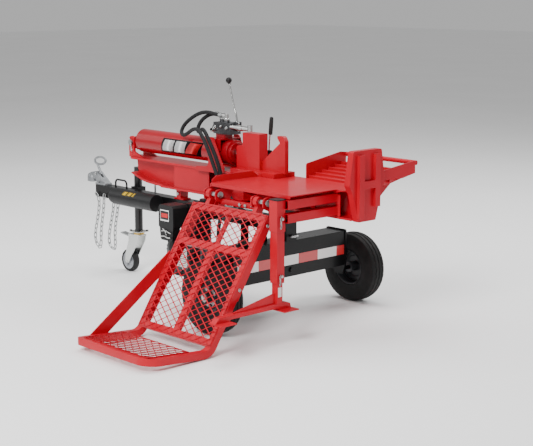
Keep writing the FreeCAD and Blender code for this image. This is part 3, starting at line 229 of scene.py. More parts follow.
def moulded(name, colour, roughness, grain=700.0, strength=0.25):
    """Moulded plastic or rubber with a fine grain."""
    look = Finish(name)
    look.link(look.ramp(look.noise(5.0, 6.0, 0.6), (0.25, shade(colour, 0.75)), (0.75, shade(colour, 1.45))),
              look.shader.inputs["Base Color"])
    look.link(look.spread(look.noise(14.0, 5.0, 0.6), roughness - 0.08, roughness + 0.08),
              look.shader.inputs["Roughness"])
    look.bump(look.noise(grain, 2.0, 0.5), strength, 0.0004, 0.0015)
    look.set(Specular_IOR_Level=0.28)


def cast_iron():
    look = Finish("cast_iron")
    look.link(look.ramp(look.noise(12.0, 6.0, 0.7), (0.3, (0.19, 0.2, 0.21)), (0.7, (0.34, 0.35, 0.36))),
              look.shader.inputs["Base Color"])
    look.link(look.spread(look.noise(25.0), 0.38, 0.6), look.shader.inputs["Roughness"])
    look.bump(look.noise(300.0, 4.0, 0.6), 0.35, 0.0006, 0.0016)
    look.set(Metallic=0.75)


def reflective_tape():
    """Red and white blocks of reflective tape, with its small hexagonal cells."""
    look = Finish("reflective_tape")
    cut = look.add("ShaderNodeSeparateXYZ")
    look.link(look.place, cut.inputs["Vector"])
    block = TAPE_BLOCK * MM
    shifted = look.add("ShaderNodeMath", operation="ADD")
    look.link(cut.outputs["Y"], shifted.inputs[0])
    shifted.inputs[1].default_value = TAPE_START * MM - AXLE.y + 4 * block
    turns = look.add("ShaderNodeMath", operation="MODULO")
    look.link(shifted.outputs[0], turns.inputs[0])
    turns.inputs[1].default_value = 2 * block
    which = look.add("ShaderNodeMath", operation="GREATER_THAN")
    look.link(turns.outputs[0], which.inputs[0])
    which.inputs[1].default_value = block
    colour = look.ramp(which.outputs[0], (0.0, (0.82, 0.82, 0.80)), (1.0, (0.55, 0.012, 0.016)))
    look.link(colour, look.shader.inputs["Base Color"])
    cells = look.add("ShaderNodeTexVoronoi", Scale=260.0, feature="DISTANCE_TO_EDGE")
    look.link(look.place, cells.inputs["Vector"])
    look.bump(cells.outputs["Distance"], 0.4, 0.0005)
    look.set(Roughness=0.32, Coat_Weight=0.7, Coat_Roughness=0.1)


def split_by_height(name, low, high, level, across=0.0006):
    """Two finishes on one carried part: below the level the first colour, above it the second."""
    look = Finish(name)
    cut = look.add("ShaderNodeSeparateXYZ")
    look.link(look.place, cut.inputs["Vector"])
    reach = look.add("ShaderNodeMapRange")
    reach.inputs["From Min"].default_value = level - across
    reach.inputs["From Max"].default_value = level + across
    look.link(cut.outputs["Z"], reach.inputs["Value"])
    fade = reach.outputs["Result"]
    look.link(look.ramp(fade, (0.0, low[0]), (1.0, high[0])), look.shader.inputs["Base Color"])
    look.link(look.spread(fade, low[1], high[1]), look.shader.inputs["Roughness"])
    look.link(look.spread(fade, low[2], high[2]), look.shader.inputs["Metallic"])
    look.bump(look.noise(200.0), 0.15, 0.0003, 0.0015)


def hose_sleeve():
    """Black textile sleeve: a fine diagonal weave round the hose."""
    look = Finish("hose_sleeve")
    weave = look.add("ShaderNodeTexVoronoi", Scale=420.0)
    look.link(look.place, weave.inputs["Vector"])
    look.link(look.ramp(weave.outputs["Distance"], (0.1, (0.003, 0.003, 0.0035)), (0.7, (0.014, 0.014, 0.015))),
              look.shader.inputs["Base Color"])
    look.bump(weave.outputs["Distance"], 0.6, 0.0012)
    look.set(Roughness=0.7, Specular_IOR_Level=0.25)


def tyre_rubber():
    look = Finish("tyre_rubber")
    look.link(look.ramp(look.noise(18.0, 8.0, 0.7), (0.3, (0.006, 0.006, 0.0065)), (0.8, (0.020, 0.0195, 0.019))),
              look.shader.inputs["Base Color"])
    look.link(look.spread(look.noise(40.0), 0.55, 0.78), look.shader.inputs["Roughness"])
    look.bump(look.noise(350.0, 4.0), 0.25, 0.0006)
    look.set(Specular_IOR_Level=0.22)


def all_finishes(colours, peel):
    paint("red_enamel", colours.red, 0.36, peel, 0.35)
    paint("deep_red_enamel", colours.dark_red, 0.3, peel, 0.5)
    paint("black_enamel", colours.black, 0.27, peel, 0.2)
    plated("zinc", (0.42, 0.43, 0.43), 0.3, 60.0)
    plated("chrome", (0.58, 0.58, 0.57), 0.14, 20.0)
    plated("yellow_zinc", (0.62, 0.42, 0.1), 0.3, 60.0)
    paint("wheel_grey", (0.035, 0.036, 0.04), 0.34, peel, 0.4)
    moulded("black_plastic", colours.plastic, 0.42)
    moulded("black_rubber", (0.012, 0.012, 0.012), 0.6, 500.0, 0.3)
    moulded("grey_plastic", (0.30, 0.31, 0.33), 0.45)
    moulded("white_label", (0.72, 0.72, 0.70), 0.4, 900.0, 0.05)
    moulded("red_label", (0.5, 0.012, 0.016), 0.35, 900.0, 0.05)
    moulded("yellow_label", (0.62, 0.40, 0.02), 0.4, 900.0, 0.05)
    moulded("black_label", (0.006, 0.006, 0.007), 0.3, 900.0, 0.05)
    plated("engine_metal", (0.10, 0.10, 0.105), 0.42, 90.0)
    cast_iron()
    reflective_tape()
    hose_sleeve()
    tyre_rubber()
    level = AXLE.z + 279 * MM
    split_by_height("jack_finish", ((0.5, 0.5, 0.48), 0.32, 1.0), (tuple(colours.black), 0.3, 0.0), level)
    split_by_height("fork_finish", ((0.6, 0.61, 0.6), 0.3, 1.0), ((0.5, 0.33, 0.08), 0.34, 1.0),
                    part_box("caster_fork")[1].z - 16 * MM)


CARRIED = {
    "red_enamel": ("beam", "end_plate", "near_table", "side_tubes", "far_catcher", "wedge", "dislodger_plates",
                   "lift_carrier", "lift_frame", "leg_middle", "leg_foot", "tongue_bracket"),
    "deep_red_enamel": ("cylinder_barrel", "cylinder_gland", "valve_bracket"),
    "black_enamel": ("axle_tank", "pedestal_post", "tongue_tube", "jack_sleeve", "engine_plate",
                     "lift_valve", "lift_cylinder"),
    "wheel_grey": ("rim_left", "rim_right"),
    "black_plastic": ("tank_cap", "manual_tube", "manual_cap", "recoil_handle", "air_cleaner", "fuel_tank",
                      "fuel_cap", "engine_fan_cover"),
    "zinc": ("safety_chains", "caster_brake", "drive_coupling", "frame_fasteners"),
    "chrome": ("ram_rod", "valve_fittings", "valve_spool", "crossover_pipe", "lift_rod"),
    "cast_iron": ("coupler_body", "hydraulic_pump"),
    "engine_metal": ("engine_block", "main_valve"),
    "reflective_tape": ("reflective_tape",),
    "black_rubber": ("suction_hose",),
    "jack_finish": ("jack_leg",),
    "fork_finish": ("caster_fork",),
}


# ------------------------------------------------------------------ mesh helpers
def keep(piece, body, replaced=()):
    """Hand a finished piece to its body and the carried parts it stands for."""
    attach(piece, body)
    if replaced:
        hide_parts(*replaced)
    return piece


def mesh_piece(name, points, faces, finish, sharp=35.0):
    data = bpy.data.meshes.new(name)
    data.from_pydata([tuple(point) for point in points], [], faces)
    data.validate()
    data.update()
    data.shade_smooth()
    data.set_sharp_from_angle(angle=math.radians(sharp))
    data.materials.append(FINISHES[finish])
    piece = bpy.data.objects.new(name, data)
    bpy.context.scene.collection.objects.link(piece)
    return piece


def turned(name, profile, centre, axis, finish, steps=64, ends=True):
    """A turned piece: profile holds (radius, distance) in millimetres along axis, from the centre."""
    axis = Vector(axis).normalized()
    side = axis.orthogonal().normalized()
    other = axis.cross(side)
    points = []
    faces = []
    for radius, along in profile:
        for step in range(steps):
            angle = 2 * math.pi * step / steps
            ring = side * math.cos(angle) + other * math.sin(angle)
            points.append(centre + (axis * along + ring * radius) * MM)
    for row in range(len(profile) - 1):
        for step in range(steps):
            following = (step + 1) % steps
            faces.append((row * steps + step, row * steps + following,
                          (row + 1) * steps + following, (row + 1) * steps + step))
    if ends:
        faces.append(tuple(reversed(range(steps))))
        faces.append(tuple(range((len(profile) - 1) * steps, len(profile) * steps)))
    return mesh_piece(name, points, faces, finish)


def block_faces(points, faces, corner, u, v, w):
    """Add a six-sided block from a corner and three edges."""
    base = len(points)
    for a, b, c in ((0, 0, 0), (1, 0, 0), (1, 1, 0), (0, 1, 0), (0, 0, 1), (1, 0, 1), (1, 1, 1), (0, 1, 1)):
        points.append(corner + u * a + v * b + w * c)
    for face in ((0, 3, 2, 1), (4, 5, 6, 7), (0, 1, 5, 4), (1, 2, 6, 5), (2, 3, 7, 6), (3, 0, 4, 7)):
        faces.append(tuple(base + index for index in face))


def soften(piece, width, segments=2):
    bevel = piece.modifiers.new("soft_edges", "BEVEL")
    bevel.width = width
    bevel.segments = segments
    bevel.limit_method = "ANGLE"
    return piece


def wire_piece(name, points, radius, finish, order=3, cyclic=False):
    """A round wire, rod or hose on a smooth curve through its control points."""
    data = bpy.data.curves.new(name, "CURVE")
    data.dimensions = "3D"
    line = data.splines.new("NURBS")
    line.points.add(len(points) - 1)
    for control, point in zip(line.points, points):
        control.co = (*point, 1.0)
    line.order_u = order
    line.use_endpoint_u = not cyclic
    line.use_cyclic_u = cyclic
    data.bevel_depth = radius
    data.bevel_resolution = 6
    data.resolution_u = 10
    data.use_fill_caps = True
    data.materials.append(FINISHES[finish])
    piece = bpy.data.objects.new(name, data)
    bpy.context.scene.collection.objects.link(piece)
    return piece


def hairpin(name, centre, along, down, size, body, wire=2.2):
    """A spring clip hanging from a pin: one straight leg, a round eye and a waved leg."""
    along = Vector(along).normalized()
    down = Vector(down).normalized()
    shape = ((-0.1, -0.5), (0.02, 0.2), (0.04, 0.7), (0.1, 0.95), (0.28, 1.06), (0.42, 0.9), (0.3, 0.74),
             (0.16, 0.6), (0.3, 0.42), (0.12, 0.2), (0.26, 0.0), (0.2, -0.35))
    points = [centre + (along * u + down * v) * size * MM for u, v in shape]
    return keep(wire_piece(name, points, wire * MM, "zinc"), body)


def rail_axes():
    """Directions down the lift's leaning back, and from it towards the beam."""
    lean = math.radians(RAIL_LEAN)
    return (Vector((0, -math.sin(lean), -math.cos(lean))), Vector((0, math.cos(lean), -math.sin(lean))))


# ------------------------------------------------------------------ operators
class SPLITTER_OT_stage(Operator):
    """Add the pale floor, the soft lights and the camera"""
    bl_idname = "splitter.stage"
    bl_label = "Stage"

    def execute(self, context):
        sizes = context.scene.splitter_sizes
        look = Finish("floor")
        look.link(look.ramp(look.noise(0.6), (0.3, 0.90), (0.7, 0.93)), look.shader.inputs["Base Color"])
        look.set(Roughness=0.9, Specular_IOR_Level=0.1)
        size = 40.0
        floor = mesh_piece("floor", [(-size, -size, 0), (size, -size, 0), (size, size, 0), (-size, size, 0)],
                           [(0, 1, 2, 3)], "floor")
        world = bpy.data.worlds.new("studio")
        world.use_nodes = True
        world.node_tree.nodes["Background"].inputs["Color"].default_value = (1.0, 1.0, 1.0, 1.0)
        world.node_tree.nodes["Background"].inputs["Strength"].default_value = 0.5
        context.scene.world = world
        low, high = CAD_BOUNDS
        centre = (Vector(low) + Vector(high)) / 2
        lights = (("key", (2.6, -5.4, 4.4), 2.6, 620.0), ("fill", (-5.4, -3.2, 3.0), 4.0, 90.0),
                  ("back", (1.5, 5.5, 4.6), 3.6, 260.0), ("top", (-1.0, 0.6, 5.6), 4.2, 300.0))
        for name, place, width, power in lights:
            lamp = bpy.data.lights.new(name, "AREA")
            lamp.size = width
            lamp.energy = power
            holder = bpy.data.objects.new(name, lamp)
            holder.location = centre + Vector(place)
            holder.rotation_euler = (-Vector(place)).to_track_quat("-Z", "Y").to_euler()
            context.scene.collection.objects.link(holder)
        ahead = Vector((-math.sin(sizes.azimuth) * math.cos(sizes.pitch),
                        math.cos(sizes.azimuth) * math.cos(sizes.pitch), -math.sin(sizes.pitch)))
        aim = at(-217.3, 51.1, 492.2)
        lens = bpy.data.cameras.new("camera")
        lens.lens = sizes.lens
        lens.sensor_width = 36.0
        lens.clip_end = 200.0
        camera = bpy.data.objects.new("camera", lens)
        camera.location = aim - ahead * sizes.distance
        camera.rotation_euler = ahead.to_track_quat("-Z", "Y").to_euler()
        context.scene.collection.objects.link(camera)
        context.scene.camera = camera
        return {"FINISHED"}


class SPLITTER_OT_hoses(Operator):
    """Lay the two pressure hoses and crimp their ends"""
    bl_idname = "splitter.hoses"
    bl_label = "Hoses"

    PRESSURE = (
        (-576, 8, 1090), (-612, 8, 1090), (-654, 0, 1081), (-696, -14, 1052), (-716, -28, 1012),
        (-704, -42, 982), (-664, -60, 986), (-614, -86, 1010), (-560, -112, 1002), (-508, -124, 952),
        (-464, -126, 888), (-430, -124, 822), (-412, -120, 756), (-406, -119, 690), (-398, -126, 628),
        (-376, -150, 574), (-344, -186, 532), (-314, -224, 496), (-290, -250, 460), (-290, -250, 413),
    )
    RETURN = (
        (-506, -22, 1090), (-560, -22, 1090), (-624, -28, 1102), (-690, -34, 1093), (-752, -44, 1062),
        (-806, -56, 1020), (-826, -68, 976), (-790, -84, 954), (-730, -100, 972), (-664, -116, 1004),
        (-598, -136, 1014), (-540, -150, 982), (-492, -156, 924), (-454, -156, 858), (-424, -153, 792),
        (-388, -150, 728), (-340, -144, 672), (-284, -136, 624), (-224, -126, 586), (-162, -118, 556),
        (-104, -114, 532), (-62, -112, 502), (-62, -112, 456),
    )

    def execute(self, context):
        thick = context.scene.splitter_sizes.hose
        for name, route, length in (("hose_pressure", self.PRESSURE, 1.07), ("hose_return", self.RETURN, 1.42)):
            points = [at(*point) for point in route]
            hose = keep(wire_piece(f"{name}_sleeve", points, thick / 2, "hose_sleeve"), "root",
                        (name,))
            for end, (point, following) in enumerate(((points[0], points[1]), (points[-1], points[-2]))):
                crimp = turned(f"{name}_crimp_{end}", ((11.2, 1), (13.6, 1), (14.2, 4), (13.4, 7), (14.2, 10),
                                                       (13.4, 13), (14.2, 16), (13.4, 19), (14.2, 22),
                                                       (13.6, 28), (11.2, 30)), point, following - point,
                               "zinc", 40)
                keep(crimp, "root")
        return {"FINISHED"}


class SPLITTER_OT_finishes(Operator):
    """Make every finish and put it on the parts that keep their own shape"""
    bl_idname = "splitter.finishes"
    bl_label = "Finishes"

    def execute(self, context):
        scene = context.scene
        all_finishes(scene.splitter_colours, scene.splitter_sizes.orange_peel)
        for finish, names in CARRIED.items():
            for name in names:
                data = NODES[name].data
                data.materials.clear()
                data.materials.append(FINISHES[finish])
        return {"FINISHED"}


class SPLITTER_OT_tyres(Operator):
    """Build both road tyres with their grooves and ribs"""
    bl_idname = "splitter.tyres"
    bl_label = "Tyres"

    def execute(self, context):
        sizes = context.scene.splitter_sizes
        for side, sign in (("left", 1), ("right", -1)):
            low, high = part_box(f"tyre_{side}")
            centre = (low + high) / 2
            outer = (high.z - low.z) / 2 / MM
            half = (high.y - low.y) / 2 / MM
            self.tyre(side, centre, outer, half, sizes)
            rim = turned(f"wheel_trim_{side}", ((34, 0), (52, 0), (56, 3), (52, 5), (34, 5)),
                         centre + Vector((0, sign * 19.5 * MM, 0)), (0, sign, 0), "zinc", 64)
            keep(rim, f"wheel_{side}")
            cap = turned(f"hub_cap_{side}", ((30.4, 0), (31, 20), (29, 30), (22, 37), (12, 40), (0.5, 41)),
                         centre + Vector((0, sign * 20 * MM, 0)), (0, sign, 0), "chrome", 48)
            keep(cap, f"wheel_{side}")
            stem = wire_piece(f"valve_stem_{side}", [centre + Vector((82, sign * 22, 20)) * MM,
                                                     centre + Vector((78, sign * 36, 19)) * MM,
                                                     centre + Vector((72, sign * 48, 18)) * MM], 3.6 * MM,
                              "black_rubber")
            keep(stem, f"wheel_{side}")
        return {"FINISHED"}

    def tyre(self, side, centre, outer, half, sizes):
        depth = sizes.tread_depth / MM
        steps = sizes.tyre_steps
        wall = ((-42, 103), (-50, 106), (-50, 116), (-54, 128), (-55.6, 146), (-55, 164), (-52, 178))
        crown = 40
        section = [(radius, offset, -1) for offset, radius in wall]
        for k in range(crown + 1):
            u = -1 + 2 * k / crown
            section.append((outer - 9 * abs(u) ** 3, 47 * u, k))
        section += [(radius, -offset, -1) for offset, radius in reversed(wall)]
        points = []
        faces = []
        for step in range(steps):
            angle = 2 * math.pi * step / steps
            sway = 1 if step % 6 < 3 else 0
            for radius, offset, column in section:
                groove = (column - sway) in (8, 9, 18, 19, 20, 29, 30)
                sipe = column in (3, 4, 5, 34, 35, 36) and step % 6 == 0
                r = radius - (depth if groove else 0.5 * depth if sipe else 0.0)
                points.append(centre + Vector((r * math.cos(angle), offset * half / 56, r * math.sin(angle))) * MM)
        count = len(section)
        for step in range(steps):
            following = (step + 1) % steps
            for k in range(count):
                after = (k + 1) % count
                faces.append((step * count + k, step * count + after, following * count + after,
                              following * count + k))
        piece = mesh_piece(f"road_tyre_{side}", points, faces, "tyre_rubber", 28.0)
        keep(piece, f"wheel_{side}", (f"tyre_{side}",))


class SPLITTER_OT_mesh_panels(Operator):
    """Weave the expanded metal of the lift's back and platform"""
    bl_idname = "splitter.mesh_panels"
    bl_label = "Mesh panels"

    LONG = 62.6
    SHORT = 41.4

    def execute(self, context):
        strand = context.scene.splitter_sizes.strand / MM
        slope, inward = rail_axes()
        self.panel("lift_mesh_panel", "back_mesh", slope, inward, strand, 24.0)
        rise = math.radians(PLATFORM_RISE)
        out = Vector((0, -math.cos(rise), math.sin(rise)))
        under = Vector((0, -math.sin(rise), -math.cos(rise)))
        self.panel("lift_mesh_platform", "platform_mesh", out, under, strand + 3.0, 52.0)
        return {"FINISHED"}

    def panel(self, node, name, along, inward, strand, tilt):
        """Strands in both directions across a sheet, each a tilted strip, inside a flat border."""
        data = NODES[node].data
        low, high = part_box(node)
        across = Vector((1, 0, 0))
        thick = 3.0
        spots = [vertex.co for vertex in data.vertices]
        front = min(spot.dot(inward) for spot in spots)
        first = min(spot.dot(along) for spot in spots)
        last = max(spot.dot(along) for spot in spots)
        width = (high.x - low.x) / MM
        length = (last - first) / MM
        origin = across * low.x + along * first + inward * front
        points = []
        faces = []
        rise = math.atan2(self.SHORT, self.LONG)
        direction = (math.cos(rise), math.sin(rise))
        for family in (1, -1):
            u_step = self.LONG
            start_u = -length / math.tan(rise) if family > 0 else 0.0
            stop_u = width if family > 0 else width + length / math.tan(rise)
            # strand lines run midway between the rows of openings
            line = math.floor(start_u / u_step) * u_step + u_step / 2
            while line < stop_u + u_step:
                self.strip(points, faces, (origin, across, along, inward), line, family, direction,
                           (width, length), strand, tilt, thick)
                line += u_step
        edge = 6.0
        for u, v, du, dv in ((0, 0, width, edge), (0, length - edge, width, edge), (0, 0, edge, length),
                             (width - edge, 0, edge, length)):
            corner = origin + (across * u + along * v) * MM
            block_faces(points, faces, corner, across * du * MM, along * dv * MM, inward * thick * MM)
        piece = mesh_piece(name, points, faces, "red_enamel", 30.0)
        soften(piece, 0.5 * MM, 1)
        keep(piece, "log_lift", (node,))

    def strip(self, points, faces, sheet, line, family, direction, size, strand, tilt, thick):
        origin, across, along, inward = sheet
        width, length = size
        run = Vector((family * direction[0], direction[1]))
        # clip u = line + family * t * cos, v = t * sin to the sheet
        bounds = []
        for limit, speed, base in ((width, run.x, line), (length, run.y, 0.0)):
            bounds.append(sorted(((0 - base) / speed, (limit - base) / speed)))
        begin = max(bounds[0][0], bounds[1][0])
        end = min(bounds[0][1], bounds[1][1])
        if end - begin < 8:
            return
        unit = (across * run.x + along * run.y).normalized()
        flat = unit.cross(inward).normalized()
        tilt = math.radians(tilt) * family
        wide = flat * math.cos(tilt) + inward * math.sin(tilt)
        deep = inward * math.cos(tilt) - flat * math.sin(tilt)
        place = origin + (across * (line + run.x * begin) + along * run.y * begin) * MM
        place += inward * thick / 2 * MM - wide * strand / 2 * MM - deep * 0.9 * MM
        block_faces(points, faces, place, unit * (end - begin) * MM, wide * strand * MM, deep * 1.8 * MM)


class SPLITTER_OT_levers(Operator):
    """Build the two control levers with their knob and grip"""
    bl_idname = "splitter.levers"
    bl_label = "Levers"

    def execute(self, context):
        stick = wire_piece("main_stick", [at(-404, 0, 1052), at(-410, 0, 1090), at(-436, 0, 1150),
                                          at(-472, 0, 1276)], 5.4 * MM, "chrome")
        keep(stick, "main_lever", ("valve_lever",))
        hub = turned("main_stick_hub", ((4.3, -8), (11, -8), (11.4, -6), (11.4, 6), (11, 8), (4.3, 8)),
                     at(-402, 0, 1046), (0, 1, 0), "zinc", 40)
        keep(hub, "main_lever")
        low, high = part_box("valve_lever")
        radius = 17.5
        profile = [(radius * math.sin(math.pi * k / 24) + 0.05, -radius * math.cos(math.pi * k / 24))
                   for k in range(25)]
        profile[0:3] = [(7.4, -20), (8.0, -17.5), (9.0, -15)]
        knob = turned("main_knob", profile, Vector((low.x + radius * MM, AXLE.y, high.z - radius * MM)),
                      (-0.2, 0, 1), "black_plastic", 48)
        keep(knob, "main_lever")
        rod = wire_piece("lift_stick", [at(-288, 138, 866), at(-287, 138, 920), at(-280, 138, 980),
                                        at(-274, 138, 1020)], 5 * MM, "chrome")
        keep(rod, "lift_lever_body", ("lift_lever",))
        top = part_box("lift_lever")[1].z / MM
        grip = turned("lift_grip", ((6, 0), (10.5, 1), (11.6, 5), (12, 30), (12, 60), (11.2, 92), (9.5, 100),
                                    (5, 103)), at(-277, 138, top - 103), (0.1, 0, 1), "black_rubber", 40)
        keep(grip, "lift_lever_body")
        return {"FINISHED"}


class SPLITTER_OT_coupler_latch(Operator):
    """Forge the coupler's latch: a lever with a round loop at its top"""
    bl_idname = "splitter.coupler_latch"
    bl_label = "Coupler latch"

    def execute(self, context):
        loop = [at(x, y, z) for x, y, z in ((-1776, 0, 684), (-1796, 0, 700), (-1778, 0, 722), (-1726, 0, 733),
                                            (-1680, 0, 726), (-1672, 0, 706), (-1700, 0, 688),
                                            (-1740, 0, 682))]
        keep(wire_piece("latch_loop", loop, 7 * MM, "cast_iron", 3, True), "coupler_latch",
             ("coupler_handle",))
        arm = [at(x, y, z) for x, y, z in ((-1766, 0, 684), (-1752, 0, 664), (-1736, 0, 640), (-1722, 0, 618))]
        keep(wire_piece("latch_arm", arm, 7.6 * MM, "cast_iron"), "coupler_latch")
        pivot = turned("latch_pivot", ((0.5, -30), (8, -30), (9, -28.5), (9, -25), (5, -24.6), (5, 24.6), (9, 25),
                                       (9, 28.5), (8, 30), (0.5, 30)), at(-1752, 0, 622), (0, 1, 0), "zinc", 32)
        keep(pivot, "coupler_latch")
        return {"FINISHED"}


class SPLITTER_OT_valve_plugs(Operator):
    """Screw the hexagon plugs and the banjo nuts on the main valve"""
    bl_idname = "splitter.valve_plugs"
    bl_label = "Valve plugs"

    def execute(self, context):
        spots = (("plug_a", (-548, -40, 1022), (0, -1, 0), 11), ("plug_b", (-498, -40, 1028), (0, -1, 0), 9),
                 ("plug_c", (-448, -40, 1022), (0, -1, 0), 11), ("plug_top", (-505, 22, 1050), (0, 0, 1), 10),
                 ("relief_cap", (-436, 24, 1050), (0, 0, 1), 9))
        for name, place, axis, across in spots:
            hexagon = turned(name, ((across * 0.9, 0), (across, 1), (across, 7), (across * 0.85, 8.5)),
                             at(*place), axis, "chrome", 6)
            keep(soften(hexagon, 0.6 * MM), "root")
            stem = turned(f"{name}_stem", ((across * 0.55, 8), (across * 0.6, 9), (across * 0.6, 13),
                                           (across * 0.4, 14.5)), at(*place), axis, "zinc", 24)
            keep(stem, "root")
        for name, place in (("banjo_a", (-540, 8, 1064)), ("banjo_b", (-470, -22, 1064))):
            nut = turned(name, ((16, 0), (17.5, 1.5), (17.5, 10), (16, 11.5), (13, 12)), at(*place), (0, 0, 1),
                         "chrome", 6)
            keep(soften(nut, 0.8 * MM), "root")
        return {"FINISHED"}


class SPLITTER_OT_caster(Operator):
    """Build the jack's caster wheel and tyre"""
    bl_idname = "splitter.caster"
    bl_label = "Caster wheel"

    def execute(self, context):
        low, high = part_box("caster_wheel")
        centre = (low + high) / 2
        outer = (high.z - low.z) / 2 / MM
        tread = ((56, -20), (62, -21.5), (68, -20), (71.4, -15), (outer, -8), (outer, 8), (71.4, 15), (68, 20),
                 (62, 21.5), (56, 20), (56, -20))
        keep(turned("caster_tyre", tread, centre, (0, 1, 0), "black_rubber", 96, False), "caster_wheel_body",
             ("caster_wheel",))
        core = ((8.2, -21), (18, -21), (19, -19), (20, -8), (42, -6), (48, -14), (56, -17.5), (56, 17.5),
                (48, 14), (42, 6), (20, 8), (19, 19), (18, 21), (8.2, 21), (8.2, -21))
        keep(turned("caster_core", core, centre, (0, 1, 0), "grey_plastic", 72, False), "caster_wheel_body")
        for k in range(6):
            angle = math.radians(60 * k)
            out = Vector((math.cos(angle), 0, math.sin(angle)))
            side = Vector((-math.sin(angle), 0, math.cos(angle)))
            points = []
            faces = []
            block_faces(points, faces, centre + (out * 17 - side * 2 - Vector((0, 13, 0))) * MM, out * 36 * MM,
                        side * 4 * MM, Vector((0, 26, 0)) * MM)
            rib = soften(mesh_piece(f"caster_rib_{k}", points, faces, "grey_plastic"), 1.2 * MM)
            keep(rib, "caster_wheel_body")
        return {"FINISHED"}


class SPLITTER_OT_engine(Operator):
    """Add the engine's fins, recoil slots, muffler guard, air cleaner label and tank seam"""
    bl_idname = "splitter.engine"
    bl_label = "Engine details"

    def execute(self, context):
        self.fins()
        self.recoil_slots()
        self.muffler()
        self.cleaner_label()
        self.tank_seam()
        return {"FINISHED"}

    def fins(self):
        points = []
        faces = []
        for k in range(9):
            z = 412 + 10 * k
            block_faces(points, faces, at(-554, -286, z), Vector((104, 0, 0)) * MM, Vector((0, 132, 0)) * MM,
                        Vector((0, 0, 3.2)) * MM)
        keep(soften(mesh_piece("cylinder_fins", points, faces, "engine_metal"), 1 * MM), "root")

    def recoil_slots(self):
        points = []
        faces = []
        for ring, (radius, count, size) in enumerate(((44, 14, 15), (66, 20, 15), (86, 26, 11))):
            for k in range(count):
                angle = 2 * math.pi * (k + 0.5 * (ring % 2)) / count
                out = Vector((0, math.cos(angle), math.sin(angle)))
                side = Vector((0, -math.sin(angle), math.cos(angle)))
                depth = {44: -647.5, 66: -647.5, 86: -639.5}[radius]
                place = at(depth, -250, 335) + (out * (radius - size / 2) - side * 2.6) * MM
                block_faces(points, faces, place, out * size * MM, side * 5.2 * MM, Vector((2.5, 0, 0)) * MM)
        keep(mesh_piece("recoil_ribs", points, faces, "engine_metal"), "root")

    def muffler(self):
        low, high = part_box("muffler")
        x0, x1 = low.x, high.x
        points = []
        faces = []
        rows = 9
        for k in range(rows):
            z = low.z + (high.z - low.z) * (k + 0.25) / rows
            block_faces(points, faces, Vector((x0 + 10 * MM, low.y - 9 * MM, z)),
                        Vector((x1 - x0 - 20 * MM, 0, 0)), Vector((0, 3 * MM, 3 * MM)),
                        Vector((0, -1.5 * MM, 7 * MM)))
        for x in (x0 + 4 * MM, x1 - 10 * MM):
            block_faces(points, faces, Vector((x, low.y - 10 * MM, low.z + 4 * MM)), Vector((6 * MM, 0, 0)),
                        Vector((0, 12 * MM, 0)), Vector((0, 0, high.z - low.z - 8 * MM)))
        guard = soften(mesh_piece("muffler_guard", points, faces, "chrome"), 0.8 * MM)
        keep(guard, "root")
        can_points = []
        can_faces = []
        block_faces(can_points, can_faces, Vector((x0, low.y, low.z)), Vector((x1 - x0, 0, 0)),
                    Vector((0, 46 * MM, 0)), Vector((0, 0, high.z - low.z)))
        can = soften(mesh_piece("muffler_shell", can_points, can_faces, "engine_metal"), 16 * MM, 5)
        keep(can, "root", ("muffler",))
        tip = turned("muffler_tip", ((9, 0), (11, 1), (11, 26), (9, 27)),
                     Vector(((x0 + x1) / 2, low.y + 20 * MM, low.z - 20 * MM)), (0, 0, 1), "zinc", 36)
        keep(tip, "root")

    def cleaner_label(self):
        low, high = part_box("air_cleaner")
        y = low.y - 0.4 * MM
        layers = (("label_back", 12, 76, -0.2, "black_label", 84, 88),
                  ("label_frame", 16, 80, -0.5, "white_label", 76, 80),
                  ("label_field", 19, 72, -0.8, "black_label", 70, 62),
                  ("label_bar", 26, 60, -1.1, "red_label", 56, 30))
        for name, x, drop, out, finish, wide, tall in layers:
            points = []
            faces = []
            block_faces(points, faces, Vector((low.x + x * MM, y + out * MM, high.z - drop * MM - 12 * MM)),
                        Vector((wide * MM, 0, 0)), Vector((0, 0.5 * MM, 0)), Vector((0, 0, tall * MM * 0.8)))
            keep(soften(mesh_piece(f"cleaner_{name}", points, faces, finish), 0.2 * MM, 1), "root")
        groove = []
        faces = []
        for k in range(3):
            block_faces(groove, faces, Vector((low.x + 18 * MM, low.y + 1.5 * MM, low.z + (10 + 20 * k) * MM)),
                        Vector((94 * MM, 0, 0)), Vector((0, 4 * MM, 0)), Vector((0, 0, 8 * MM)))
        keep(soften(mesh_piece("cleaner_ribs", groove, faces, "black_plastic"), 1.2 * MM), "root")
        front = low.y - 3 * MM
        rods = (("choke_rod", ((30, 52), (60, 60), (84, 50), (112, 46)), 3.4),
                ("throttle_rod", ((24, 20), (52, 28), (86, 16), (108, 22)), 3.8),
                ("choke_lever", ((40, 66), (58, 58), (66, 44), (72, 30)), 3.0))
        for name, path, radius in rods:
            points = [Vector((low.x + x * MM, front, low.z + z * MM)) for x, z in path]
            keep(wire_piece(name, points, radius * MM, "chrome"), "root")

    def tank_seam(self):
        low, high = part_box("fuel_tank")
        mid = low.z + (high.z - low.z) * 0.45
        points = []
        faces = []
        block_faces(points, faces, Vector((low.x - 4 * MM, low.y - 4 * MM, mid)),
                    Vector((high.x - low.x + 8 * MM, 0, 0)), Vector((0, high.y - low.y + 8 * MM, 0)),
                    Vector((0, 0, 5 * MM)))
        keep(soften(mesh_piece("tank_seam", points, faces, "black_plastic"), 2 * MM, 3), "root")


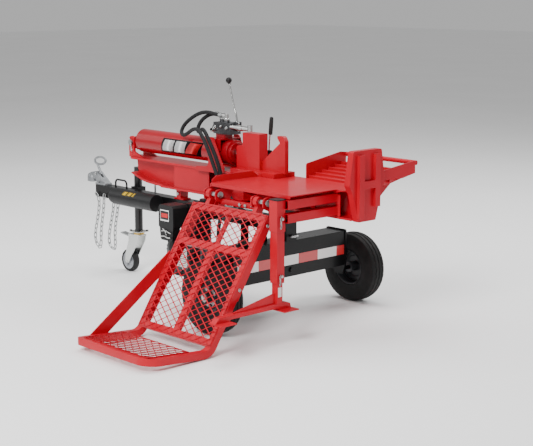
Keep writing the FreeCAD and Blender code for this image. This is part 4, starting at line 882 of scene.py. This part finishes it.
class SPLITTER_OT_badges(Operator):
    """Add the plain striped badge on the cylinder and the blank labels"""
    bl_idname = "splitter.badges"
    bl_label = "Badges"

    def execute(self, context):
        stripes = (("badge_back", -1010, -640, -36, 36, 0.35, "black_label", 10.0),
                   ("badge_white_a", -994, -900, -28, 28, 0.8, "white_label", 12.0),
                   ("badge_white_b", -884, -790, -28, 28, 0.8, "white_label", 12.0),
                   ("badge_red", -772, -664, -28, 28, 0.8, "red_label", 26.0))
        for name, x0, x1, a0, a1, rise, finish, slant in stripes:
            self.wrap(name, BARREL_RADIUS + rise, x0, x1, a0, a1, slant, finish)
        self.holder_label()
        self.leg_label()
        return {"FINISHED"}

    def wrap(self, name, radius, x0, x1, a0, a1, slant, finish):
        """A thin patch lying round the barrel's near side, its ends slanted."""
        rows = 16
        points = []
        faces = []
        for k in range(rows + 1):
            share = k / rows
            angle = math.radians(a0 + (a1 - a0) * share)
            for x in (x0 + slant * (share * 2 - 1), x1 + slant * (share * 2 - 1)):
                ring = Vector((0, -math.cos(angle), math.sin(angle)))
                points.append(at(x, 0, BARREL_HEIGHT) + ring * radius * MM)
        for k in range(rows):
            faces.append((2 * k, 2 * k + 1, 2 * k + 3, 2 * k + 2))
        piece = mesh_piece(name, points, faces, finish)
        shell = piece.modifiers.new("film", "SOLIDIFY")
        shell.thickness = FILM
        keep(piece, "root")

    def holder_label(self):
        radius = 52.3
        rows = 8
        for index, (x0, x1) in enumerate(((-1330, -1290), (-1282, -1242), (-1234, -1214))):
            points = []
            faces = []
            for k in range(rows + 1):
                angle = math.radians(28 + 30 * k / rows)
                ring = Vector((0, -math.cos(angle), math.sin(angle)))
                for x in (x0 + 8 * k / rows, x1 + 8 * k / rows):
                    points.append(at(x, -90.2, 520) + ring * radius * MM)
            for k in range(rows):
                faces.append((2 * k, 2 * k + 1, 2 * k + 3, 2 * k + 2))
            piece = mesh_piece(f"holder_stripe_{index}", points, faces, "yellow_label")
            shell = piece.modifiers.new("film", "SOLIDIFY")
            shell.thickness = FILM
            keep(piece, "root")

    def leg_label(self):
        points = []
        faces = []
        block_faces(points, faces, at(434.05, -482, 262), Vector((0.5 * MM, 0, 0)),
                    Vector((0, 24 * MM, 0)), Vector((0, 0, 50 * MM)))
        keep(mesh_piece("leg_label", points, faces, "white_label"), "leg_foot_body")


class SPLITTER_OT_caps(Operator):
    """Close the square tubes with plastic caps and bolt the lift's rails"""
    bl_idname = "splitter.caps"
    bl_label = "Caps and bolts"

    def execute(self, context):
        self.cap("leg_cap", at(LEG[0] - 31, LEG[1] - 31, 759), Vector((62, 0, 0)), Vector((0, 62, 0)),
                 Vector((0, 0, 7)), "root")
        slope, inward = rail_axes()
        hinge = at(*LIFT_HINGE)
        for name, x in (("left", -236), ("right", 314)):
            corner = hinge + (Vector((x, 0, 0)) + slope * 50 + inward * 1.5) * MM
            self.cap(f"rail_cap_{name}", corner, Vector((42, 0, 0)), slope * 12, inward * 50, "log_lift")
        for side, x, out in (("left", -236, -1), ("right", 356, 1)):
            for k, along in enumerate((110, 470)):
                place = hinge + (Vector((x, 0, 0)) + slope * along + inward * 26) * MM
                bolt = turned(f"rail_bolt_{side}_{k}", ((0.5, 0), (9, 0), (10, 1.5), (10, 3), (8, 5.5), (4, 7),
                                                        (0.5, 7.4)), place, (out, 0, 0), "zinc", 28)
                keep(bolt, "log_lift")
        return {"FINISHED"}

    def cap(self, name, corner, u, v, w, body):
        points = []
        faces = []
        block_faces(points, faces, corner, u * MM, v * MM, w * MM)
        keep(soften(mesh_piece(name, points, faces, "black_plastic"), 2.5 * MM, 3), body)


class SPLITTER_OT_clips(Operator):
    """Hang the spring clips and put the leg's two pins through its tubes"""
    bl_idname = "splitter.clips"
    bl_label = "Spring clips"

    def execute(self, context):
        hairpin("rear_pin_clip", at(-1316, -72, 868), (0.9, -0.25, 0), (0.1, 0, -1), 52, "root")
        for side, x in (("left", -125), ("right", 245)):
            hairpin(f"hinge_clip_{side}", at(x - 36, -445, 728), (0, -0.9, 0.2), (0.1, -0.2, -1), 34, "root")
        hairpin("leg_clip_upper", at(452, -476, 660), (0.3, -0.9, 0), (0.1, 0, -1), 40, "root")
        hairpin("leg_clip_lower", at(446, -476, 362), (0.3, -0.9, 0), (0.1, 0, -1), 36, "leg_slider")
        for name, z, body, reach in (("leg_pin_upper", 668, "root", 38), ("leg_pin_lower", 372, "leg_slider", 34)):
            pin = turned(name, ((4.6, -reach), (5, -reach + 1), (5, reach), (8, reach), (8, reach + 4),
                                (5, reach + 5)), at(*LEG, z), (1, 0, 0), "zinc", 32)
            keep(pin, body)
        return {"FINISHED"}


OPERATORS = (SPLITTER_OT_stage, SPLITTER_OT_finishes, SPLITTER_OT_hoses, SPLITTER_OT_tyres,
             SPLITTER_OT_mesh_panels, SPLITTER_OT_levers, SPLITTER_OT_coupler_latch,
             SPLITTER_OT_valve_plugs, SPLITTER_OT_caster, SPLITTER_OT_engine,
             SPLITTER_OT_badges, SPLITTER_OT_caps, SPLITTER_OT_clips)


class SPLITTER_PT_panel(Panel):
    bl_label = "Log splitter"
    bl_idname = "SPLITTER_PT_panel"
    bl_space_type = "VIEW_3D"
    bl_region_type = "UI"
    bl_category = "Log Splitter"

    def draw(self, context):
        scene = context.scene
        for group in (scene.splitter_sizes, scene.splitter_colours):
            for name in group.bl_rna.properties.keys():
                if name not in ("rna_type", "name"):
                    self.layout.prop(group, name)
        for operator in OPERATORS:
            self.layout.operator(operator.bl_idname)


CLASSES = (SplitterColours, SplitterSizes, *OPERATORS, SPLITTER_PT_panel)


def register():
    for item in CLASSES:
        bpy.utils.register_class(item)
    bpy.types.Scene.splitter_colours = PointerProperty(type=SplitterColours)
    bpy.types.Scene.splitter_sizes = PointerProperty(type=SplitterSizes)


def unregister():
    del bpy.types.Scene.splitter_sizes
    del bpy.types.Scene.splitter_colours
    for item in reversed(CLASSES):
        bpy.utils.unregister_class(item)


def main():
    register()
    for step in OPERATORS:
        group, name = step.bl_idname.split(".")
        getattr(getattr(bpy.ops, group), name)()


if __name__ == "__main__":
    main()
